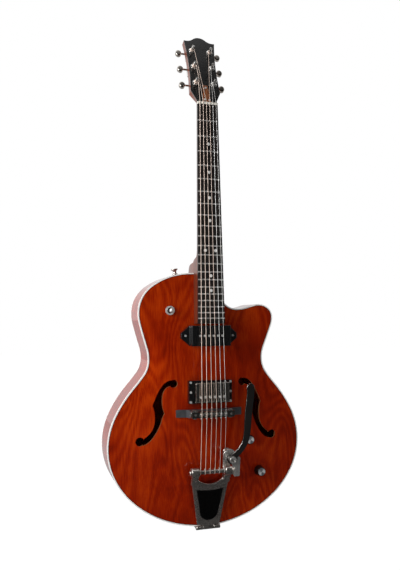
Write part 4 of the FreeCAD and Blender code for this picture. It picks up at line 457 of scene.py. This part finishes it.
binding_white = plastic("binding_white", (0.88, 0.86, 0.82), (0.97, 0.96, 0.94), dull=0.16)
bone_white = plastic("bone_white", (0.72, 0.68, 0.58), (0.86, 0.83, 0.76), dull=0.28)
pearl = plastic("pearl", (0.66, 0.66, 0.64), (0.92, 0.91, 0.88), dull=0.14)
black_lacquer = plastic("black_lacquer", (0.004, 0.004, 0.004), (0.012, 0.011, 0.011),
                        dull=0.14, coat=0.8)
black_plastic = plastic("black_plastic", (0.003, 0.003, 0.003), (0.008, 0.008, 0.009),
                        dull=0.08, worn=1.2)
polished_black = plastic("polished_black", (0.004, 0.004, 0.004), (0.01, 0.01, 0.011),
                         dull=0.05, coat=0.5, worn=3.5)
black_enamel = plastic("black_enamel", (0.001, 0.001, 0.001), (0.002, 0.002, 0.002),
                       dull=0.1, mirror=0.3)
print("materials so far:", len(bpy.data.materials))

# %% [markdown]
# ## Metals
# Plated metal is never evenly bright: fingers leave dull patches, and years of handling round its
# edges. A modelled bevel creases where the triangles of a casting are thin, so most of the metal is
# rounded in the shading, by a radius in millimetres. The cast tailpiece and its arm are older and
# darker than the plated screws. Knob caps are turned on a lathe, and thick strings are wound.

# %% Metals
WINDING = 0.35 * MM


def metal(name, low, high, dull, rough, patch, dent=0.0, bare=1.0, worn=0.0):
    """Worked metal: tarnish in patches, a gloss that follows them, a fine grain and rounded edges."""
    def varied(paint):
        cloud = paint.noise(paint.here(), patch, 4.0, 0.6)
        fine = paint.noise(paint.here(), 900.0, 3.0, 0.6)
        return {
            "Base Color": paint.blend(cloud, rgb(*low), rgb(*high)),
            "Roughness": cloud * rough + fine * 0.04 + dull,
            "Normal": paint.bump(fine, dent, 0.0002, worn),
        }
    return finish(name, {"Metallic": bare}, varied)


nickel = metal("nickel", (0.68, 0.66, 0.63), (0.86, 0.84, 0.81),
               dull=0.06, rough=0.1, patch=90.0, dent=0.02, bare=0.92, worn=0.5)
screw_steel = metal("screw_steel", (0.74, 0.73, 0.71), (0.95, 0.94, 0.92),
                    dull=0.26, rough=0.15, patch=150.0, dent=0.03, bare=0.6)
cover_metal = metal("cover_metal", (0.5, 0.46, 0.41), (0.66, 0.62, 0.57),
                    dull=0.12, rough=0.08, patch=40.0, dent=0.01, worn=2.6)
worn_nickel = metal("worn_nickel", (0.36, 0.33, 0.295), (0.5, 0.46, 0.42),
                    dull=0.1, rough=0.12, patch=60.0, dent=0.02, worn=0.5)
satin = metal("satin", (0.62, 0.6, 0.57), (0.8, 0.78, 0.75),
              dull=0.14, rough=0.1, patch=40.0, dent=0.012, bare=0.8, worn=2.0)
old_cast = metal("old_cast", (0.48, 0.44, 0.405), (0.64, 0.6, 0.56),
                 dull=0.2, rough=0.1, patch=30.0, dent=0.012, bare=0.93, worn=4.0)
dark_cast = metal("dark_cast", (0.26, 0.24, 0.225), (0.36, 0.34, 0.32),
                  dull=0.1, rough=0.1, patch=30.0, dent=0.012, worn=2.5)
steel = metal("steel", (0.4, 0.39, 0.38), (0.62, 0.61, 0.6), dull=0.18, rough=0.12, patch=120.0, dent=0.05)
fret_wire = metal("fret_wire", (0.8, 0.78, 0.75), (0.95, 0.93, 0.9),
                  dull=0.2, rough=0.1, patch=150.0, bare=0.7)
copper = metal("copper", (0.4, 0.16, 0.06), (0.62, 0.28, 0.12), dull=0.25, rough=0.2, patch=200.0)


def turned_varied(paint):
    """Turned disc: a painted highlight and painted shade in sectors, from a wave kept round the disc."""
    fine = paint.noise(paint.here(), 700.0, 3.0, 0.6)
    return {
        # the base colour carries a painted highlight: light and dark sectors set by the wave round the cap
        "Base Color": paint.blend(paint.kept("sheen"), rgb(0.2, 0.21, 0.23), rgb(0.97, 0.97, 0.97)),
        "Roughness": fine * 0.12 + 0.26,
        "Normal": paint.bump(fine, 0.04, 0.0002),
    }


def wound_varied(paint):
    """Wound string: a fine wave along it, one crest for each turn of the winding."""
    turns = (paint.kept("along") * (2 * math.pi / WINDING)).sine()
    cloud = paint.noise(paint.here(), 60.0, 3.0, 0.6)
    return {
        "Base Color": paint.blend(cloud, rgb(0.72, 0.56, 0.47), rgb(0.92, 0.76, 0.66)),
        "Roughness": cloud * 0.15 + 0.26,
        "Normal": paint.bump(turns, 0.3, 0.00006),
    }


turned = finish("turned", {"Metallic": 0.55}, turned_varied)
wound = finish("wound_string", {"Metallic": 0.45}, wound_varied)
print("materials:", len(bpy.data.materials))

# %% [markdown]
# ## Dressing the solids
# The solids arrive as loose triangles, which would shade as flat facets. A merged copy stands in
# for each: its points are welded, its faces shade smoothly, and only edges sharper than a chosen
# angle stay crisp. Pieces with long plain edges also get a narrow bevel, because a real edge always
# catches light.

# %% Merged copies
WELD_DECIMALS = 6
BEVEL_ANGLE = 35
WIDE_BEVEL = 0.9


def merged(node):
    """Points and triangles of a solid after points that agree to a micrometre are made one."""
    mesh = frame["nodes"][node].data
    points = np.empty(len(mesh.vertices) * 3)
    mesh.vertices.foreach_get("co", points)
    corners = np.empty(len(mesh.loops), int)
    mesh.loops.foreach_get("vertex_index", corners)
    kept, where = np.unique(np.round(points.reshape(-1, 3), WELD_DECIMALS), axis=0, return_inverse=True)
    faces = where.reshape(-1)[corners].reshape(-1, 3)
    whole = (faces[:, 0] != faces[:, 1]) & (faces[:, 1] != faces[:, 2]) & (faces[:, 2] != faces[:, 0])
    return kept, faces[whole]


def smooth(piece, crease):
    """Smooth shading, with edges sharper than the crease angle kept crisp."""
    piece.data.polygons.foreach_set("use_smooth", np.ones(len(piece.data.polygons), bool))
    piece.data.set_sharp_from_angle(angle=math.radians(crease))
    return piece


def bevelled(piece, width):
    """Rounds the crisp edges of a piece a little; a wide bevel isn't held back where edges are close."""
    edge = piece.modifiers.new("edge", "BEVEL")
    edge.width = width * MM
    edge.segments = 2
    edge.limit_method = "ANGLE"
    edge.angle_limit = math.radians(BEVEL_ANGLE)
    edge.use_clamp_overlap = width < WIDE_BEVEL
    edge.harden_normals = True


body_of_node = {
    node: body for body, nodes in frame["record"]["behaviour"]["bodies"].items() for node in nodes
}


def stands_for(piece, node):
    """The piece rides where a solid does and replaces it: the solid is hidden."""
    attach(piece, body_of_node[node])
    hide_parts(node)


def dressed(material, *nodes, crease=32, edge=0.0):
    """Merged, smooth copies of solids in one finish, each riding where its solid does."""
    for node in nodes:
        points, faces = merged(node)
        piece = smooth(from_arrays(node + "_dressed", points.tolist(), faces.tolist()), crease)
        if edge:
            bevelled(piece, edge)
        piece.data.materials.append(material)
        stands_for(piece, node)


# %% [markdown]
# ## Which piece wears what
# The body is cherry laminate with white binding, and the neck is mahogany under a rosewood board.
# What a hand touches most, such as the tuner buttons and the bridge, is dull, while screws and
# frets stay bright. A list of finishes and pieces shows this at a glance.

# %% Finishes of the pieces
TUNERS = range(1, 7)
dressed(cherry_top, "top_plate")
dressed(cherry_back, "back_plate")
dressed(cherry_side, "sides")
dressed(bare_wood, "linings", "tone_bars", "end_blocks")
dressed(binding_white, "body_binding")
dressed(bone_white, "nut", edge=0.4)
dressed(pearl, "position_dots")
dressed(mahogany, "neck")
dressed(black_lacquer, "headstock_veneer", edge=0.3)
dressed(rosewood, "fingerboard", edge=0.2)
dressed(ebony, "bridge_base", edge=0.4)
dressed(burl, "truss_rod_cover", edge=0.3)
dressed(fret_wire, "frets")
dressed(nickel, "tuner_housings", "tuner_bushes", "bridge_posts", "bridge_saddles", "bridge_thumbwheels")
dressed(nickel, "output_jack", *(f"tuner_post_{number}" for number in TUNERS))
dressed(worn_nickel, "bridge_body", *(f"tuner_button_{number}" for number in TUNERS))
dressed(screw_steel, "mounting_screws", "saddle_screws", "pole_screws", "toggle_lever", "control_nuts")
dressed(cover_metal, "bridge_pickup_cover")
dressed(polished_black, "neck_pickup_cover", edge=0.8)
dressed(black_plastic, "bridge_pickup_ring", edge=0.6)
dressed(black_plastic, "toggle_switch_body")
dressed(black_enamel, "tailpiece_panel")
dressed(old_cast, "strap_buttons", "string_axle")
dressed(old_cast, "tailpiece_frame", edge=1.0)
dressed(old_cast, "tail_bracket", edge=0.4)
dressed(satin, "rocker_bracket", "arm_stud")
dressed(dark_cast, "vibrato_arm")
dressed(steel, "truss_rod", "tailpiece_hinge_pin", "axle_bearings", "control_pots")
dressed(copper, "pickup_coils")

# %% [markdown]
# ## The dark line inside the binding
# A thin black strip is let in between the white binding and the top. It could be a piece of its
# own, but it is flush with the top, so a colour is enough. The top's own points tell how far they
# are from the rim: the least distance to the front edges of the binding is kept on each point as an
# attribute, and the finish draws a dark line where it is small. The walls of the sound holes are
# bare wood, so faces that look sideways well inside the rim take a second finish.

# %% Purfling line and cut edges
UPRIGHT = 0.5
SIDEWAYS = 0.35
FRONT_DEPTH = 0.1 * MM
RIM_MARGIN = 6 * MM
BLOCK = 400


def face_normals(points, faces):
    """Unit normals of triangles: the cross product of two sides over its length."""
    first, second, third = (points[faces[:, corner]] for corner in range(3))
    normal = np.cross(second - first, third - first)
    return normal / np.maximum(np.linalg.norm(normal, axis=1, keepdims=True), 1e-12)


def front_edges(node):
    """Edges of the upright walls that lie in the foremost plane of a solid, across and along the body."""
    points, faces = merged(node)
    upright = faces[np.abs(face_normals(points, faces)[:, 1]) < UPRIGHT]
    edges = np.concatenate((upright[:, (0, 1)], upright[:, (1, 2)], upright[:, (2, 0)]))
    foremost = points[:, 1] < points[:, 1].min() + FRONT_DEPTH
    edges = edges[foremost[edges].all(axis=1)]
    return points[edges][:, :, (0, 2)]


def distance_to(edges, spots):
    """Least distance from each spot to the edges: the foot of the perpendicular, held within the edge."""
    start, run = edges[:, 0], edges[:, 1] - edges[:, 0]
    gap = spots[:, None] - start
    share = np.clip((gap * run).sum(2) / np.maximum((run * run).sum(1), 1e-18), 0.0, 1.0)
    return np.linalg.norm(gap - share[..., None] * run, axis=2).min(1)


def keep(piece, name, values):
    """Keeps a value on each point of a piece as an attribute."""
    made = piece.data.attributes.new(name, "FLOAT", "POINT")
    made.data.foreach_set("value", values.astype(np.float32))


top = bpy.data.objects["top_plate_dressed"]
top_points, top_faces = merged("top_plate")
rim = front_edges("body_binding")
blocks = np.array_split(top_points[:, (0, 2)], 1 + len(top_points) // BLOCK)
inset = np.concatenate([distance_to(rim, block) for block in blocks])
keep(top, "inset", inset)
sideways = np.abs(face_normals(top_points, top_faces)[:, 1]) < SIDEWAYS
inner = inset[top_faces].min(axis=1) > RIM_MARGIN
top.data.materials.append(cut_edge)
top.data.polygons.foreach_set("material_index", (sideways & inner).astype(np.int32))
print("rim edges:", len(rim), "cut faces:", int((sideways & inner).sum()))

# %% [markdown]
# ## Tubes along a path
# Strings and the spring are tubes. A curve object with a bevel would draw them too, but a mesh of
# our own can keep the length along a string in metres, which the winding needs. So at each point of
# a path we put a circle across it. The circle needs two directions. The first is across both the
# path and a steady direction that the path never runs along, the second is across the path and the
# first.

# %% Tube
TUBE_CREASE = 60


def unit(vectors):
    return vectors / np.linalg.norm(vectors, axis=-1, keepdims=True)


def skin(rows, columns, flip=False):
    """Four-sided faces of a grid of points that closes on itself across its columns."""
    row, column = np.meshgrid(np.arange(rows - 1), np.arange(columns), indexing="ij")
    after = (column + 1) % columns
    corners = np.stack((row * columns + column, row * columns + after,
                        (row + 1) * columns + after, (row + 1) * columns + column), axis=-1).reshape(-1, 4)
    return corners[:, ::-1] if flip else corners


def tube(path, radius, steady, around=12):
    """Points, faces and lengths along a round tube: path plus radius times a circle across the path."""
    ahead = unit(np.gradient(path, axis=0))
    side = unit(np.cross(ahead, steady))
    up = np.cross(side, ahead)
    angle = np.linspace(0, 2 * math.pi, around, endpoint=False)[:, None]
    circle = np.cos(angle) * side[:, None] + np.sin(angle) * up[:, None]
    points = (path[:, None] + radius * circle).reshape(-1, 3)
    faces = skin(len(path), around, flip=True).tolist()
    ends = np.arange(around)
    faces += [ends.tolist(), (ends[::-1] + (len(path) - 1) * around).tolist()]
    steps = np.linalg.norm(np.diff(path, axis=0), axis=1)
    along = np.repeat(np.concatenate(((0.0,), np.cumsum(steps))), around)
    return points, faces, along


def joined(name, parts, material_of):
    """One object from several tubes, with the length along each kept as an attribute."""
    starts = np.cumsum([0] + [len(points) for points, _, _ in parts])
    faces = [[corner + start for corner in face] for (_, own, _), start in zip(parts, starts) for face in own]
    made = from_arrays(name, np.concatenate([points for points, _, _ in parts]).tolist(), faces)
    keep(made, "along", np.concatenate([lengths for _, _, lengths in parts]))
    numbers = np.repeat(material_of, [len(own) for _, own, _ in parts])
    made.data.polygons.foreach_set("material_index", numbers.astype(np.int32))
    return smooth(made, TUBE_CREASE)


print("tube of 20 rings:", len(tube(np.linspace((0, 0, 0), (0, 0, 1), 20), 0.1, (1, 0, 0))[1]), "faces")

# %% [markdown]
# ## Leaning frames
# The neck leans back a little, the headstock leans back more, and the tailpiece leans the other
# way. We could give every string its points in the upright frame, but they are far easier to name
# along the neck or across the headstock. Small functions carry points from those leaning frames
# into ours, in millimetres.

# %% Leaning frames
NECK_LEAN, NECK_FOOT = -2.5, np.array((0, -82.8, 232))
HEAD_LEAN, HEAD_FOOT = -17.4, np.array((0, 5, 635))
TAIL_LEAN, TAIL_FOOT = 8.9, np.array((0, -43.5, -1))


def leaned(points, degrees, origin):
    """Points turned about the X axis and then moved to an origin, in millimetres."""
    cosine, sine = math.cos(math.radians(degrees)), math.sin(math.radians(degrees))
    return np.asarray(points, float) @ np.array(((1, 0, 0), (0, cosine, sine), (0, -sine, cosine))) + origin


def on_neck(points):
    return leaned(points, NECK_LEAN, NECK_FOOT)


def on_head(points):
    return on_neck(leaned(points, HEAD_LEAN, HEAD_FOOT))


def seen_from_head(points):
    """The way back: points of the upright frame, measured in the headstock's."""
    return leaned(leaned(points - NECK_FOOT, -NECK_LEAN, 0) - HEAD_FOOT, -HEAD_LEAN, 0)


def on_tail(points):
    return leaned(points, TAIL_LEAN, TAIL_FOOT)


print("foot of the head in mm:", on_head((0, 0, 0)).round(1).tolist())

# %% [markdown]
# ## Where a string lies
# Each string starts on the axle of the vibrato, wraps half round it, runs over its saddle and the
# nut and winds three times round its post. A string is straight wherever nothing bends it, so the
# path needs only the spots where it touches metal. It leaves the axle and meets the post along
# tangents, and short curves round off the bends at the saddle and the nut.

# %% String paths
STRINGS = 6
THICKEST, THINNEST = 0.6, 0.15
SEAT_GAP = 0.1
RIM_FRONT = -39
CROWN = 305
SADDLE_SPREAD, SADDLE_RISE, SADDLE_ALONG = 50, 48.9, 229.5
NUT_SPREAD, NUT_RISE, NUT_ALONG = 35, 1.6, 635
POST_TURNS, TURN_GAP = 3, 0.6
POST_RADIUS, POST_ACROSS, POST_FOOT = 3.12, 19.8, 2.8
FIRST_POST, POST_PITCH = 49, 43
AXLE_RADIUS, AXLE_SPOT = 4.12, (0, -9.4, 119.5)
BEND_RADIUS = 4
HOOK_STEPS, TAIL_STEPS, RUN_STEPS, HEAD_STEPS, TURN_STEPS = 20, 12, 40, 8, 28


def crown_drop(radius, across):
    """How far a crowned surface falls away at a distance from its middle."""
    return radius - math.sqrt(radius * radius - across * across)


def rounded(before, corner, after, radius, steps=7):
    """A bend: a curve that leaves one run and joins the next at equal distances from the corner."""
    first, second = unit(before - corner), unit(after - corner)
    half = math.acos(np.clip(first @ second, -1, 1)) / 2
    share = np.linspace(0, 1, steps)[:, None]
    start, end = (corner + way * radius / math.tan(half) for way in (first, second))
    return (1 - share) ** 2 * start + 2 * share * (1 - share) * corner + share ** 2 * end


def post_coil(number, radius, nut):
    """Turns round a post: a helix that starts where a line from the nut touches the post's side."""
    side = -1 if number < STRINGS // 2 else 1
    order = min(number, STRINGS - 1 - number)
    pitch = 2 * radius + TURN_GAP
    height = POST_FOOT + POST_TURNS * pitch + radius
    start = np.array((side * POST_ACROSS, -height, FIRST_POST + POST_PITCH * order))
    toward = start - seen_from_head(nut)
    toward[1] = 0
    reach = np.linalg.norm(toward)
    wrap = POST_RADIUS + radius
    lean = -side * math.asin(wrap / reach)
    toward = toward / reach
    run = np.array((toward[0] * math.cos(lean) + toward[2] * math.sin(lean), 0,
                    toward[2] * math.cos(lean) - toward[0] * math.sin(lean)))
    arm = np.array((-side * run[2], 0, side * run[0])) * wrap
    angle = np.linspace(0, 2 * math.pi * POST_TURNS, TURN_STEPS * POST_TURNS)[:, None]
    climb = np.array((0, pitch, 0)) * angle / (2 * math.pi)
    return on_head(start + arm * np.cos(angle) + run * wrap * np.sin(angle) + climb)


def axle_hook(across, radius, saddle):
    """Half a circle round the axle that ends where a line to the saddle touches it."""
    axle = on_tail(AXLE_SPOT)
    ring = AXLE_RADIUS + radius
    rise, ahead = axle[1] - saddle[1], saddle[2] - axle[2]
    touch = math.atan2(rise, ahead) + math.acos(ring / math.hypot(rise, ahead))
    turn = np.linspace(touch + math.pi, touch, HOOK_STEPS)
    level, along = axle[1] - ring * np.sin(turn), axle[2] + ring * np.cos(turn)
    return np.column_stack((np.full(HOOK_STEPS, across), level, along))


def string_paths(number):
    """Radius of a string, its path from axle to post, and its turns round the post."""
    radius = THICKEST - (THICKEST - THINNEST) * number / (STRINGS - 1)
    spread = number / (STRINGS - 1) - 0.5
    across, nut_across = SADDLE_SPREAD * spread, NUT_SPREAD * spread
    saddle_rise = SADDLE_RISE - crown_drop(CROWN, across) + radius + SEAT_GAP
    saddle = np.array((across, RIM_FRONT - saddle_rise, SADDLE_ALONG))
    nut_level = crown_drop(CROWN + NUT_RISE, nut_across) - NUT_RISE - radius - SEAT_GAP
    nut = on_neck((nut_across, nut_level, NUT_ALONG))
    coil = post_coil(number, radius, nut)
    hook = axle_hook(across, radius, saddle)
    over_saddle = rounded(hook[-1], saddle, nut, BEND_RADIUS)
    over_nut = rounded(saddle, nut, coil[0], BEND_RADIUS)
    path = np.concatenate((
        hook, np.linspace(hook[-1], over_saddle[0], TAIL_STEPS)[1:-1], over_saddle,
        np.linspace(over_saddle[-1], over_nut[0], RUN_STEPS)[1:-1], over_nut,
        np.linspace(over_nut[-1], coil[0], HEAD_STEPS)[1:],
    ))
    return radius, path, coil


print("points on a string:", sum(len(part) for part in string_paths(0)[1:]))

# %% [markdown]
# ## The strings
# The four thick strings are wound with fine wire; the two thin ones are plain steel. A thin string
# drawn at its true size is lost between two pixels, while a real one glints. So the thin strings
# are drawn thicker than they are, and the thickest keeps its size.

# %% Strings
WOUND_STRINGS = 4
SHOWN_SHARE, SHOWN_LEAST = 0.6, 0.24

head_normal = on_head((0, 1, 0)) - on_head((0, 0, 0))
string_tubes = []
for number in range(STRINGS):
    radius, path, coil = string_paths(number)
    shown_radius = SHOWN_SHARE * radius + SHOWN_LEAST
    string_tubes.append(tube(path * MM, shown_radius * MM, (1, 0, 0)))
    string_tubes.append(tube(coil * MM, shown_radius * MM, head_normal))
plain = (np.arange(STRINGS) >= WOUND_STRINGS).astype(int)
strings = joined("strings_visual", string_tubes, np.repeat(plain, 2))
strings.data.materials.append(wound)
strings.data.materials.append(screw_steel)
stands_for(strings, "strings")
print("string faces:", len(strings.data.polygons))

# %% [markdown]
# ## The spring
# The spring is a helix: a point that circles an axis while it climbs it. A Screw modifier makes
# one too, but we have a tube already. Its foot sits on the frame and its head at the rocker's cap;
# the spots of both are worked out, but the spring stays where it is drawn and follows neither body.

# %% Spring
SPRING_TURNS = 4
SPRING_STEPS = 32
SPRING_ACROSS, SPRING_ALONG = 35, 151
SPRING_RADIUS, SPRING_WIRE = 6.6, 1.4
COIL_FOOT, COIL_HEAD = 4.1, -15.4
SEAT_LEVEL, CAP_LEVEL = 5.5, -17.2

angle = np.linspace(0, 2 * math.pi * SPRING_TURNS, SPRING_STEPS * SPRING_TURNS)
helix = np.column_stack((
    SPRING_ACROSS + SPRING_RADIUS * np.cos(angle),
    np.linspace(COIL_FOOT, COIL_HEAD, len(angle)),
    SPRING_ALONG + SPRING_RADIUS * np.sin(angle),
))
spring_axis = on_tail((0, 1, 0)) - on_tail((0, 0, 0))
spring = joined("spring_visual", [tube(on_tail(helix) * MM, SPRING_WIRE * MM, spring_axis, 16)], (0,))
spring.data.materials.append(nickel)
levels = (SEAT_LEVEL, CAP_LEVEL)
seat, cap = (tuple(on_tail((SPRING_ACROSS, level, SPRING_ALONG)) * MM) for level in levels)
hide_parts("vibrato_spring")
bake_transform(spring)
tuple(seat)
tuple(cap)
print("spring from", [round(value, 4) for value in seat], "to", [round(value, 4) for value in cap])

# %% [markdown]
# ## The knobs
# A knob is turned on a lathe: a profile of radius against height, swept round. Its grip is fluted,
# so the radius also falls and rises round the circle, by a share that fades out at both rims. The
# bright cap on top is a separate turned disc. Its rings are too fine to model, so a wave round the
# disc is kept on its points, and the finish paints light and dark sectors from it into the cap's
# colour: a painted highlight and painted shade.

# %% Lathe
FLUTES = 30
FLUTE_FADE = 0.8
FLUTE_SHARPNESS = 0.6
LATHE_CREASE = 35


def lathe(name, profile, place, around=180, flute=0.0, fluted=(0, 0)):
    """Radius and height swept round an axis that points out of the top; flutes thin the radius in a band."""
    radius, height = np.array(profile, float).T
    low, high = fluted
    band = np.clip((height - low) / FLUTE_FADE, 0, 1) * np.clip((high - height) / FLUTE_FADE, 0, 1)
    angle = np.linspace(0, 2 * math.pi, around, endpoint=False)
    cut = 1 - flute * band[:, None] * (0.5 + 0.5 * np.cos(FLUTES * angle)) ** FLUTE_SHARPNESS
    points = np.stack((
        place[0] + radius[:, None] * cut * np.cos(angle),
        place[1] - np.repeat(height[:, None], around, axis=1),
        place[2] + radius[:, None] * cut * np.sin(angle),
    ), axis=-1).reshape(-1, 3)
    piece = from_arrays(name, (points * MM).tolist(), skin(len(radius), around).tolist())
    return smooth(piece, LATHE_CREASE)


print("flutes:", FLUTES)

# %% [markdown]
# ## Two knobs from one profile
# Both knobs are the same piece. The profile starts under the skirt, goes up the grip and ends at
# the cap's foot, so that nothing is open where an eye could look in. Each knob sits on the arched
# top at its own height.

# %% Knobs
CAP_SIDES = 72
FLUTE_DEPTH, FLUTED = 0.05, (0.8, 14.2)
GRIP = np.column_stack((np.linspace(10.3, 8.9, 14), np.linspace(1.0, 14.0, 14))).tolist()
BARREL = [(3.2, 3.4), (8.6, 3.4), (8.6, 0.0), (10.2, 0.0), (10.4, 0.25)] + GRIP + [
    (8.8, 14.5), (8.5, 15.0), (8.0, 15.25), (7.45, 15.3), (7.4, 15.0),
]
CAP = [
    (7.4, 15.0), (7.4, 16.2), (7.2, 16.6), (6.6, 16.85), (5.9, 16.9), (5.3, 16.75),
    (5.0, 16.5), (2.5, 16.35), (0.0, 16.3),
]
KNOB_SPOTS = (("volume_knob", 84.2, 12.63, 171.3), ("tone_knob", 110.6, 6.49, 104.0))

for node, across, rise, along in KNOB_SPOTS:
    place = (across, RIM_FRONT - rise, along)
    barrel = lathe(node + "_barrel", BARREL, place, flute=FLUTE_DEPTH, fluted=FLUTED)
    barrel.data.materials.append(black_plastic)
    stands_for(barrel, node)
    disc = lathe(node + "_cap", CAP, place, around=CAP_SIDES)
    angle = np.tile(np.linspace(0, 2 * math.pi, CAP_SIDES, endpoint=False), len(CAP))
    # a wave round the cap, which the finish turns into a painted highlight and painted shade in sectors
    keep(disc, "sheen", np.clip(0.5 + 0.7 * np.cos(2 * angle - 0.9) + 0.3 * np.cos(3 * angle), 0, 1))
    disc.data.materials.append(turned)
    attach(disc, body_of_node[node])
    print(node, "points:", len(barrel.data.vertices) + len(disc.data.vertices))

# %% [markdown]
# ## The box of the solids
# The dressed guitar has to stay within the box of its solids, or it wouldn't fit where the solid
# model does.
